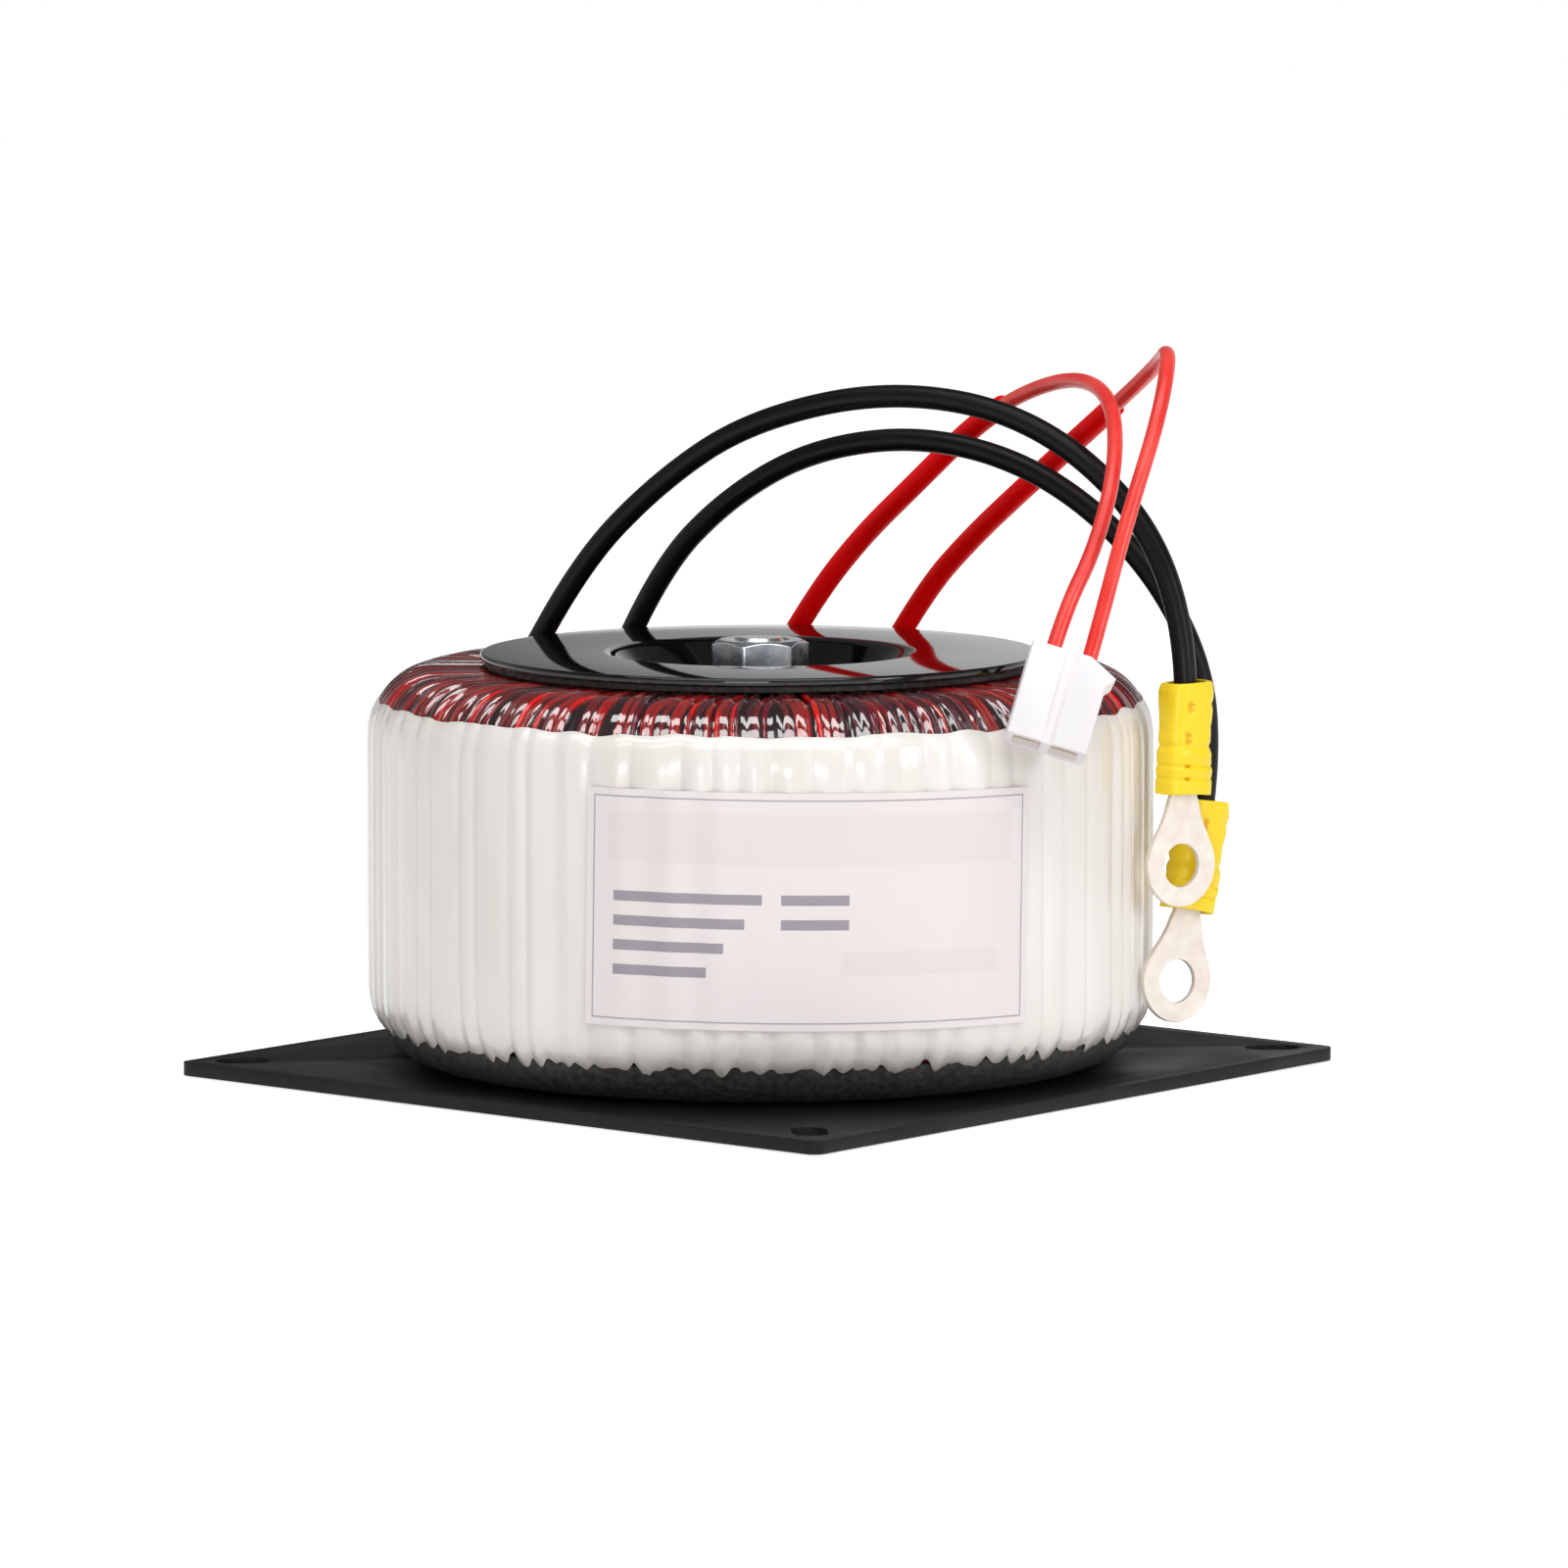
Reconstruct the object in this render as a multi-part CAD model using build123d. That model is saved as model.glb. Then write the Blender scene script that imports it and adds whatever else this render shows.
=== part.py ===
from build123d import *
from math import cos, degrees, radians, sin, sqrt, tan
import os

os.makedirs("parts", exist_ok=True)

# Toroidal mains transformer on a square mounting plate. Millimetres, +Z up.
# The origin is the middle of the plate's underside. X and Y run along the plate's diagonals,
# so its corner slots lie on the axes, and -Y is the side that carries the label.

# base plate
plate_side = 125.0
plate_thickness = 2.0
plate_corner = 2.0
slot_reach = 78.5
slot_width = 5.3
slot_length = 8.5

# wound steel core
core_outer = 102.0
core_inner = 57.3
core_height = 42.0
core_corner = 1.3
round_share = 0.45

# layers on the core, from the inside out
core_insulation_build = 0.8
primary_build = 3.4
primary_hole_build = 5.0
winding_insulation_build = 0.6
secondary_build = 2.65
secondary_hole_build = 4.0
film_build = 0.25

# turns of the secondary winding
turn_count = 68
turn_rise = 0.9
turn_lean = 4.0
corner_steps = 3

# white band round the side of the coil
pleat_crest = 0.9
pleat_valley = 0.3
band_foot = 4.0
band_shoulder = 4.4

# label on the band
label_width = 68.6
label_height = 34.8
label_thickness = 0.15
label_middle = 31.2
label_turn = 2.7
label_tilt = 0.9

# rubber pads
lower_pad_thickness = 2.0
lower_pad_bore = 40.0
lower_pad_bend = 9.0
lower_pad_lip = 5.0
upper_pad_thickness = 1.0
upper_pad_bore = 55.0
upper_pad_outer = 83.0

# dished clamping washer
dish_outer = 84.8
dish_thickness = 1.2
dish_depth = 8.3
dish_floor = 28.0
dish_mouth = 45.6
dish_lip = 3.0
dish_root = 1.5
dish_edge = 0.5

# centre stud and its fasteners
stud_diameter = 8.0
stud_proud = 0.3
stud_chamfer = 1.0
stud_head = 12.0
stud_head_thickness = 1.2
nut_flats = 13.0
nut_height = 6.5
nut_turn = 3.7
nut_chamfer = 0.9
nut_chamfer_angle = 30.0
washer_outer = 16.0
washer_thickness = 1.6
spring_outer = 14.6
spring_thickness = 2.0
spring_gap = 1.2
spring_slant = 20.0
fastener_clearance = 0.2
thread_clearance = 0.05
head_clearance = 0.1

# black secondary leads
black_lead_diameter = 3.5
upper_route = [
    (-32.2, 35.4, 60.3),
    (-25.7, 31.3, 73.6),
    (-13.7, 24.8, 87.2),
    (-0.2, 15.7, 97.4),
    (20.2, 3.3, 102.9),
    (40.0, -9.4, 99.6),
    (55.7, -18.7, 85.9),
    (62.0, -24.0, 67.6),
    (61.5, -24.5, 54.6),
]
lower_route = [
    (-17.1, 44.3, 60.3),
    (-12.1, 40.6, 72.4),
    (-2.3, 33.9, 83.9),
    (10.2, 24.4, 92.3),
    (26.6, 12.8, 95.2),
    (42.8, 1.0, 90.8),
    (56.6, -9.5, 79.0),
    (65.0, -15.9, 63.5),
    (66.6, -15.6, 47.7),
    (64.5, -17.4, 36.0),
]

# red primary leads, each in a thicker sleeve as far as the middle of its fifth run
red_lead_diameter = 2.35
red_sleeve_diameter = 3.4
red_sleeve_runs = 5
sleeve_clearance = 0.1
left_route = [
    (8.6, 46.6, 60.3),
    (12.7, 43.1, 68.2),
    (19.5, 37.7, 77.9),
    (26.5, 27.5, 86.6),
    (34.6, 17.5, 96.5),
    (41.2, 6.8, 102.3),
    (47.7, -7.1, 105.4),
    (50.9, -21.4, 102.9),
    (49.6, -34.9, 93.7),
    (45.5, -43.4, 82.6),
    (40.1, -48.4, 73.4),
    (36.7, -52.3, 63.6),
]
right_route = [
    (24.7, 41.5, 60.3),
    (29.3, 36.9, 69.5),
    (35.5, 28.5, 78.2),
    (41.4, 18.3, 85.7),
    (48.0, 8.2, 93.6),
    (58.4, -12.2, 106.8),
    (58.7, -26.8, 111.3),
    (55.7, -38.5, 102.1),
    (49.5, -46.2, 86.1),
    (45.4, -49.0, 71.8),
    (42.0, -52.9, 62.0),
]
arc_share = 0.45
exit_clearance = 0.1
exit_length = 8.0

# ring terminals and their yellow sleeves
ring_outer = 12.5
ring_bore = 6.5
ring_thickness = 1.0
ring_drop = 21.3
neck_width = 5.6
neck_step = 1.2
neck_root = 4.2
neck_spread = 60.0
barrel_outer = 5.2
barrel_bore = 3.0
barrel_length = 10.4
terminal_turn = 29.0
cover_width = 7.9
cover_depth = 6.4
cover_overlap = 6.1
cover_corner = 2.6
cover_clearance = 0.05
crimp_heights = (-8.0, -6.0)
crimp_groove = 0.8
crimp_depth = 0.3
dent_width = 2.2
dent_heights = (-1.2, 2.4)

# two-way connector on the red leads
housing_width = 12.1
housing_depth = 6.5
housing_height = 14.4
housing_above_contact = 5.0
housing_edge = 0.4
shoulder_width = 3.2
shoulder_drop = 2.2
latch_reach = 1.1
latch_drop = 1.4
cell_pitch = 5.6
cell_size = 4.2
cell_groove = 1.8
cell_groove_depth = 0.6
wire_hole_clearance = 0.15
contact_clearance = 0.2
contact_length = 8.4
contact_wall = 0.5
contact_neck = 2.6
contact_neck_length = 1.4


def grow(ring, outside, faces, inside):
    """A layer's envelope: the ring below it plus what the layer builds on each side."""
    inner, outer, bottom, top, corner = ring
    return (inner - inside, outer + outside, bottom - faces, top + faces, corner + faces)


# envelopes: inner radius, outer radius, bottom, top and corner radius
stack = core_insulation_build + primary_build + winding_insulation_build + secondary_build + film_build
coil_bottom = plate_thickness + lower_pad_thickness
core_bottom = coil_bottom + stack
core_ring = (core_inner / 2, core_outer / 2, core_bottom, core_bottom + core_height, core_corner)
insulated_core = grow(core_ring, core_insulation_build, core_insulation_build, core_insulation_build)
primary_ring = grow(insulated_core, primary_build, primary_build, primary_hole_build)
insulated_primary = grow(
    primary_ring, winding_insulation_build, winding_insulation_build, winding_insulation_build
)
secondary_ring = grow(insulated_primary, secondary_build, secondary_build, secondary_hole_build)
coil_ring = grow(secondary_ring, film_build, film_build, film_build)
coil_radius = coil_ring[1]
coil_top = coil_ring[3]
coil_corner = coil_ring[4]

# heights of what is clamped on top of the coil
dish_bottom = coil_top + upper_pad_thickness
dish_top = dish_bottom + dish_thickness
dish_floor_top = dish_top - dish_depth
spring_bottom = dish_floor_top + washer_thickness
nut_bottom = spring_bottom + spring_thickness
nut_top = nut_bottom + nut_height
label_radius = coil_radius + pleat_crest


def ring_solid(ring):
    """A full ring with rounded corners that fills an envelope."""
    inner, outer, bottom, top, corner = ring
    rounding = min(corner, round_share * (outer - inner), round_share * (top - bottom))
    section = Pos((inner + outer) / 2, (bottom + top) / 2) * RectangleRounded(
        outer - inner, top - bottom, rounding
    )
    return revolve(Plane.XZ * section, Axis.Z)


def ring_layer(outside, inside):
    """The layer between two envelopes."""
    return ring_solid(outside) - ring_solid(inside)


def ring_outline(ring):
    """Stations round a ring's section, with each rounded corner in a few even steps."""
    inner, outer, bottom, top, corner = ring
    corners = [
        (outer - corner, top - corner, 0),
        (inner + corner, top - corner, 90),
        (inner + corner, bottom + corner, 180),
        (outer - corner, bottom + corner, 270),
    ]
    outline = []
    for centre, height, start in corners:
        for step in range(corner_steps + 1):
            angle = radians(start + 90 * step / corner_steps)
            outline.append((centre + corner * cos(angle), height + corner * sin(angle)))
    return outline


def pleated_ring(crest, valley, lean):
    """A ring whose section alternates between a crest and a valley outline, once for each turn."""
    inner = min(r for r, z in crest)
    outer = max(r for r, z in crest)
    sections = []
    for index in range(2 * turn_count):
        outline = valley if index % 2 else crest
        section = []
        for r, z in outline:
            angle = radians(180 * index / turn_count + lean * (outer - r) / (outer - inner))
            section.append(Vector(r * cos(angle), r * sin(angle), z))
        sections.append(section)
    faces = []
    for index, here in enumerate(sections):
        there = sections[(index + 1) % len(sections)]
        for start in range(len(here)):
            end = (start + 1) % len(here)
            near_edge = Edge.make_line(here[start], here[end])
            far_edge = Edge.make_line(there[start], there[end])
            faces.append(Face.make_surface_from_curves(near_edge, far_edge))
    return Solid(Shell(faces))


def exit_pockets():
    """Round pockets along the first run of each lead, where it comes out of the winding."""
    pockets = []
    exits = [
        (upper_route, black_lead_diameter),
        (lower_route, black_lead_diameter),
        (left_route, red_sleeve_diameter),
        (right_route, red_sleeve_diameter),
    ]
    for route, diameter in exits:
        start = Vector(*route[0])
        along = Vector(*route[1]) - start
        pocket = Cylinder(
            diameter / 2 + exit_clearance, exit_length, align=(Align.CENTER, Align.CENTER, Align.MIN)
        )
        pockets.append(Plane(origin=start, z_dir=along) * pocket)
    return pockets


def secondary_winding():
    """The thick outer winding: one rounded ridge for each turn, leaning across both faces."""
    crest = ring_outline(secondary_ring)
    valley = ring_outline(grow(secondary_ring, -turn_rise, -turn_rise, -turn_rise))
    winding = pleated_ring(crest, valley, turn_lean)
    winding = winding - ring_solid(insulated_primary)
    for pocket in exit_pockets():
        winding = winding - pocket
    return winding


def film_wrap():
    """Clear film drawn tight over the winding, with a hole where each lead comes out."""
    film = ring_layer(coil_ring, secondary_ring)
    for pocket in exit_pockets():
        film = film - pocket
    return film


def side_radius(ring, height):
    """Radius of an envelope's outer side at a height, also where its corners curve in."""
    inner, outer, bottom, top, corner = ring
    depth = max(bottom + corner - height, height - (top - corner), 0)
    return outer - corner + sqrt(corner**2 - depth**2)


def side_band():
    """The white band: pleats that stand on the film and end on the coil's shoulders."""
    low = coil_bottom + band_foot
    high = coil_top - band_shoulder
    low_corner = coil_bottom + coil_corner
    high_corner = coil_top - coil_corner
    heights = [
        low,
        (low + low_corner) / 2,
        low_corner,
        high_corner,
        (high + high_corner) / 2,
        high,
    ]
    root = coil_radius - coil_corner
    outlines = []
    for lift in (pleat_crest, pleat_valley):
        cover = grow(coil_ring, lift, lift, lift)
        side = [(side_radius(cover, height), height) for height in heights]
        outlines.append([(root, low)] + side + [(root, high)])
    return pleated_ring(outlines[0], outlines[1], 0.0) - ring_solid(coil_ring)


def label():
    """A paper label laid round the crests of the pleats, slightly askew."""
    half_angle = label_width / (2 * label_radius)
    chord = 2 * label_radius * sin(half_angle)
    outer = Cylinder(label_radius + label_thickness, plate_side)
    inner = Cylinder(label_radius, plate_side)
    block = Box(chord, coil_radius * 2, label_height, align=(Align.CENTER, Align.MAX, Align.CENTER))
    window = Rot(0, label_tilt, 0) * block
    sheet = (outer - inner) & window
    return Pos(0, 0, label_middle) * (Rot(0, 0, label_turn) * sheet)


def lower_pad():
    """Rubber pad under the coil, its rim pressed up round the coil's lower shoulder."""
    seat = coil_radius - coil_corner
    bend_centre = plate_thickness + lower_pad_bend
    lip_height = plate_thickness + lower_pad_lip
    lip_drop = bend_centre - lip_height
    lip_radius = seat + sqrt(lower_pad_bend**2 - lip_drop**2)
    half = lower_pad_bend * sin(radians(45))
    outline = Polyline(
        (lip_radius, lip_height),
        (seat - lower_pad_thickness, lip_height),
        (seat - lower_pad_thickness, plate_thickness),
        (seat, plate_thickness),
    )
    bend = ThreePointArc(
        (seat, plate_thickness), (seat + half, bend_centre - half), (lip_radius, lip_height)
    )
    rim = revolve(Plane.XZ * make_face([outline, bend]), Axis.Z)
    base = Cylinder(seat, lower_pad_thickness, align=(Align.CENTER, Align.CENTER, Align.MIN))
    hole = Cylinder(lower_pad_bore / 2, 4 * lower_pad_thickness)
    return Pos(0, 0, plate_thickness) * (base - hole) + (rim - ring_solid(coil_ring))


def tube(outer, bore, height):
    """A plain ring that stands on the XY plane."""
    upright = (Align.CENTER, Align.CENTER, Align.MIN)
    return Cylinder(outer / 2, height, align=upright) - Cylinder(bore / 2, height, align=upright)


def upper_pad():
    """Flat rubber ring between the coil and the dished washer."""
    return Pos(0, 0, coil_top) * tube(upper_pad_outer, upper_pad_bore, upper_pad_thickness)


def nearest_corner(sketch, point):
    return sketch.vertices().sort_by_distance(point)[0]


def dished_washer():
    """Pressed steel washer: a flat rim, a rolled lip and a dish that nests in the coil's throat."""
    hole = stud_diameter / 2 + fastener_clearance
    floor = dish_floor / 2
    mouth = dish_mouth / 2
    rim = dish_outer / 2
    slope = Vector(mouth - floor, dish_depth).get_angle(Vector(1, 0))
    shift = dish_thickness * tan(radians(slope / 2))
    under = -dish_thickness
    top_root = (floor, -dish_depth)
    top_lip = (mouth, 0)
    low_root = (floor + shift, under - dish_depth)
    low_lip = (mouth + shift, under)
    outline = Polyline(
        (hole, -dish_depth),
        top_root,
        top_lip,
        (rim, 0),
        (rim, under),
        low_lip,
        low_root,
        (hole, under - dish_depth),
        close=True,
    )
    section = make_face(outline)
    section = fillet(nearest_corner(section, top_lip), dish_lip)
    section = fillet(nearest_corner(section, low_lip), dish_lip - dish_thickness)
    section = fillet(nearest_corner(section, top_root), dish_root)
    section = fillet(nearest_corner(section, low_root), dish_root + dish_thickness)
    section = fillet(nearest_corner(section, (rim, 0)), dish_edge)
    return Pos(0, 0, dish_top) * revolve(Plane.XZ * section, Axis.Z)


def base_plate():
    """Steel plate with a long slot at each corner and a flush seat for the stud's head."""
    blank = Rot(0, 0, 45) * RectangleRounded(plate_side, plate_side, plate_corner)
    slots = []
    for turn in (0, 90, 180, 270):
        slots.append(Rot(0, 0, turn) * (Pos(slot_reach, 0) * SlotOverall(slot_length, slot_width)))
    shank_hole = Circle(stud_diameter / 2 + head_clearance)
    plate = extrude(blank - slots - shank_hole, plate_thickness)
    upright = (Align.CENTER, Align.CENTER, Align.MIN)
    head_seat = Cylinder(stud_head / 2 + head_clearance, stud_head_thickness, align=upright)
    return plate - head_seat


def centre_stud():
    """Flush-headed stud that clamps the coil down on the plate."""
    upright = (Align.CENTER, Align.CENTER, Align.MIN)
    shank = Cylinder(stud_diameter / 2, nut_top + stud_proud, align=upright)
    shank = chamfer(shank.edges().sort_by(Axis.Z)[-1], stud_chamfer)
    return shank + Cylinder(stud_head / 2, stud_head_thickness, align=upright)


def plain_washer():
    bore = stud_diameter + 2 * fastener_clearance
    return Pos(0, 0, dish_floor_top) * tube(washer_outer, bore, washer_thickness)


def spring_washer():
    """Split ring, cut through at a slant."""
    bore = stud_diameter + 2 * fastener_clearance
    ring = tube(spring_outer, bore, spring_thickness)
    outward = (Align.MIN, Align.CENTER, Align.CENTER)
    cut = Box(spring_outer, spring_gap, 3 * spring_thickness, align=outward)
    cut = Pos(0, 0, spring_thickness / 2) * (Rot(spring_slant, 0, 0) * cut)
    return Pos(0, 0, spring_bottom) * (ring - cut)


def hex_nut():
    """Hexagon nut with both faces chamfered and one corner towards the label side."""
    upright = (Align.CENTER, Align.CENTER, Align.MIN)
    prism = extrude(RegularPolygon(nut_flats / 2, 6, major_radius=False, rotation=nut_turn), nut_height)
    turned = Cylinder(nut_flats / sqrt(3), nut_height, align=upright)
    rims = turned.edges().filter_by(GeomType.CIRCLE)
    turned = chamfer(rims, nut_chamfer * tan(radians(nut_chamfer_angle)), nut_chamfer)
    bore = Cylinder(stud_diameter / 2 + thread_clearance, nut_height, align=upright)
    return Pos(0, 0, nut_bottom) * ((prism & turned) - bore)


def arc_radii(route):
    """The bend radius at each inner point of a route, as large as its two runs allow."""
    points = [Vector(*point) for point in route]
    radii = []
    for before, here, after in zip(points, points[1:], points[2:]):
        first = here - before
        second = after - here
        turn = radians(first.get_angle(second))
        radii.append(arc_share * min(first.length, second.length) / tan(turn / 2))
    return radii


def cord_tube(route, radii, outer, bore=0.0):
    """A cord's tube: straight runs joined by tangent arcs."""
    path = FilletPolyline(*route, radius=radii)
    section = Circle(outer / 2)
    if bore:
        section = section - Circle(bore / 2)
    solid = sweep(Plane(origin=path @ 0, z_dir=path % 0) * section, path=path)
    return solid, path.length


def lead_sleeve(route):
    """The thicker sleeve on the first runs of a red lead."""
    radii = arc_radii(route)
    before = Vector(*route[red_sleeve_runs - 1])
    after = Vector(*route[red_sleeve_runs])
    middle = (before + after) * 0.5
    short_route = route[:red_sleeve_runs] + [tuple(middle)]
    short_radii = radii[: red_sleeve_runs - 1]
    bore = red_lead_diameter + 2 * sleeve_clearance
    return cord_tube(short_route, short_radii, red_sleeve_diameter, bore)


def end_plane(route, turn):
    """A frame at a cord's end: z back along the cord, x level and turned about z."""
    end = Vector(*route[-1])
    back = Vector(*route[-2]) - end
    across = Vector(cos(radians(turn)), sin(radians(turn)), 0)
    return Plane(origin=end, x_dir=across, z_dir=back)


def terminal(route):
    """Ring terminal: a flat ring and neck that run up into the crimped barrel."""
    upright = (Align.CENTER, Align.CENTER, Align.MIN)
    ring = Pos(0, -ring_drop) * Circle(ring_outer / 2)
    shoulder = ring_outer / 2 * sin(radians(neck_spread))
    shoulder_height = ring_outer / 2 * cos(radians(neck_spread)) - ring_drop
    neck_start = -barrel_length - neck_step
    root = neck_root / 2
    neck = Polyline(
        (-shoulder, shoulder_height),
        (-neck_width / 2, neck_start),
        (-root, -barrel_length),
        (-root, -barrel_length / 2),
        (root, -barrel_length / 2),
        (root, -barrel_length),
        (neck_width / 2, neck_start),
        (shoulder, shoulder_height),
        close=True,
    )
    hole = Pos(0, -ring_drop) * Circle(ring_bore / 2)
    blade = extrude(Plane.XZ * (ring + make_face(neck) - hole), ring_thickness / 2, both=True)
    barrel = Pos(0, 0, -barrel_length) * Cylinder(barrel_outer / 2, barrel_length, align=upright)
    bore = Pos(0, 0, ring_thickness - barrel_length / 2) * Cylinder(
        barrel_bore / 2, barrel_length / 2, align=upright
    )
    return end_plane(route, terminal_turn) * (blade + barrel - bore)


def terminal_cover(route):
    """Yellow sleeve crimped flat over the barrel and the end of the lead."""
    upright = (Align.CENTER, Align.CENTER, Align.MIN)
    length = barrel_length + cover_overlap
    body = extrude(RectangleRounded(cover_width, cover_depth, cover_corner), length)
    body = Pos(0, 0, -barrel_length) * body
    barrel_hole = Cylinder(barrel_outer / 2 + cover_clearance, barrel_length, align=upright)
    lead_hole = Cylinder(black_lead_diameter / 2 + cover_clearance, cover_overlap, align=upright)
    body = body - Pos(0, 0, -barrel_length) * barrel_hole - lead_hole
    for side in (-1, 1):
        face = side * (cover_depth / 2)
        for height in crimp_heights:
            body = body - Pos(0, face, height) * Box(cover_width, 2 * crimp_depth, crimp_groove)
        for height in dent_heights:
            body = body - Pos(0, face, height) * Box(dent_width, 2 * crimp_depth, dent_width / 2)
    return end_plane(route, terminal_turn) * body


def housing_plane():
    """A frame between the ends of the two red leads: x from left to right, z up the leads."""
    left_end = Vector(*left_route[-1])
    right_end = Vector(*right_route[-1])
    up = Vector(*left_route[-2]) - left_end
    return Plane(origin=(left_end + right_end) * 0.5, x_dir=right_end - left_end, z_dir=up)


def housing_block():
    """The housing's outline in one block: a sloped shoulder runs down to a small latch on one side."""
    side = housing_width / 2
    top = housing_above_contact
    bottom = top - housing_height
    outline = Polyline(
        (-side, top),
        (side - shoulder_width, top),
        (side + latch_reach, top - shoulder_drop),
        (side, top - shoulder_drop - latch_drop),
        (side, bottom),
        (-side, bottom),
        close=True,
    )
    block = extrude(Plane.XZ * make_face(outline), housing_depth / 2, both=True)
    return fillet(block.edges().filter_by(Axis.Z), housing_edge)


def connector_housing():
    """Two square cells side by side with a groove between them."""
    upright = (Align.CENTER, Align.CENTER, Align.MIN)
    hanging = (Align.CENTER, Align.CENTER, Align.MAX)
    body = housing_block()
    groove = Box(cell_groove, 2 * cell_groove_depth, 2 * housing_height)
    wire_hole = Cylinder(
        red_lead_diameter / 2 + wire_hole_clearance, housing_above_contact, align=upright
    )
    for side in (-1, 1):
        cell_x = side * cell_pitch / 2
        body = body - Pos(0, side * housing_depth / 2, 0) * groove
        body = body - Pos(cell_x, 0, 0) * wire_hole
        body = body - Pos(cell_x, 0, 0) * Box(cell_size, cell_size, housing_height, align=hanging)
    return housing_plane() * body


def connector_contact(side):
    """Socket contact: a square sleeve under a round crimp neck."""
    hanging = (Align.CENTER, Align.CENTER, Align.MAX)
    size = cell_size - 2 * contact_clearance
    inside = size - 2 * contact_wall
    length = contact_length - contact_neck_length
    sleeve = Box(size, size, length, align=hanging)
    opening = Pos(0, 0, -contact_wall) * Box(inside, inside, length, align=hanging)
    neck = Cylinder(contact_neck / 2, contact_neck_length, align=hanging)
    contact = neck + Pos(0, 0, -contact_neck_length) * (sleeve - opening)
    return housing_plane() * (Pos(side * cell_pitch / 2, 0, 0) * contact)


def lead_nodes():
    """The four leads and the two red sleeves, each with its section, length and bend radii shown."""
    leads = {
        "black_lead_upper": (upper_route, black_lead_diameter),
        "black_lead_lower": (lower_route, black_lead_diameter),
        "red_lead_left": (left_route, red_lead_diameter),
        "red_lead_right": (right_route, red_lead_diameter),
    }
    solids = {}
    for name, (route, diameter) in leads.items():
        radii = arc_radii(route)
        solid, length = cord_tube(route, radii, diameter)
        swept = Circle(diameter / 2).area * length
        print(name, "length", round(length, 1), "radii", [round(radius, 1) for radius in radii])
        print(name, "volume", round(solid.volume, 1), "of", round(swept, 1))
        solids[name] = solid
    solids["red_sleeve_left"] = lead_sleeve(left_route)[0]
    solids["red_sleeve_right"] = lead_sleeve(right_route)[0]
    return solids


nodes = {
    "base_plate": base_plate(),
    "centre_stud": centre_stud(),
    "lower_pad": lower_pad(),
    "toroidal_core": ring_solid(core_ring),
    "core_insulation": ring_layer(insulated_core, core_ring),
    "primary_winding": ring_layer(primary_ring, insulated_core),
    "winding_insulation": ring_layer(insulated_primary, primary_ring),
    "secondary_winding": secondary_winding(),
    "film_wrap": film_wrap(),
    "side_band": side_band(),
    "label": label(),
    "upper_pad": upper_pad(),
    "dished_washer": dished_washer(),
    "plain_washer": plain_washer(),
    "spring_washer": spring_washer(),
    "hex_nut": hex_nut(),
    "terminal_upper": terminal(upper_route),
    "terminal_lower": terminal(lower_route),
    "terminal_sleeve_upper": terminal_cover(upper_route),
    "terminal_sleeve_lower": terminal_cover(lower_route),
    "connector_housing": connector_housing(),
    "connector_contact_left": connector_contact(-1),
    "connector_contact_right": connector_contact(1),
}
nodes.update(lead_nodes())

for name, solid in nodes.items():
    solid.label = name
    export_step(solid, f"parts/{name}.step")
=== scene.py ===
import math
import bpy
import numpy as np
from mathutils import Matrix, Vector


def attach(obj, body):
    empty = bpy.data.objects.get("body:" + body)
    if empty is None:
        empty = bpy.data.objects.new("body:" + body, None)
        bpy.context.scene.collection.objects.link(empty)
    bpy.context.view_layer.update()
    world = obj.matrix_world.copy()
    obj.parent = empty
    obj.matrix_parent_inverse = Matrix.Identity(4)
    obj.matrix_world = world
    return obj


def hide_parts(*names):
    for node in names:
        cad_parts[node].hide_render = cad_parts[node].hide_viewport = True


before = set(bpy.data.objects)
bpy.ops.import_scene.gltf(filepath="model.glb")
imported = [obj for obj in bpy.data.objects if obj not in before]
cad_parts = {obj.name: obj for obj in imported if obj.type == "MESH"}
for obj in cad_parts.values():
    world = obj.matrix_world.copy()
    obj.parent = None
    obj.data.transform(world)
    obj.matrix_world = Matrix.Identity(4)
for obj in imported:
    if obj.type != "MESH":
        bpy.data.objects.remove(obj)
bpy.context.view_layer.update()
scene = bpy.context.scene
mm = 0.001

# The camera stands where the photo was taken from: places in metres, angles in degrees, lens in mm.
camera = {
    "place": (-0.1219, -1.35328, 0.19683), "tilt": 83.554, "turn": -5.298, "lens": 207.2,
    "sensor": 36, "nearest": 0.1, "farthest": 20,
}


def makeCamera():
    lens = bpy.data.cameras.new("camera")
    lens.lens = camera["lens"]
    lens.sensor_width = camera["sensor"]
    lens.clip_start = camera["nearest"]
    lens.clip_end = camera["farthest"]
    stand = bpy.data.objects.new("camera", lens)
    stand.location = camera["place"]
    stand.rotation_euler = (math.radians(camera["tilt"]), 0, math.radians(camera["turn"]))
    scene.collection.objects.link(stand)
    scene.camera = stand


makeCamera()
print("camera made")


def addObject(name, data, replaces=()):
    made = bpy.data.objects.new(name, data)
    scene.collection.objects.link(made)
    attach(made, "root")
    if replaces:
        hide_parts(*replaces)
    return made


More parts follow.
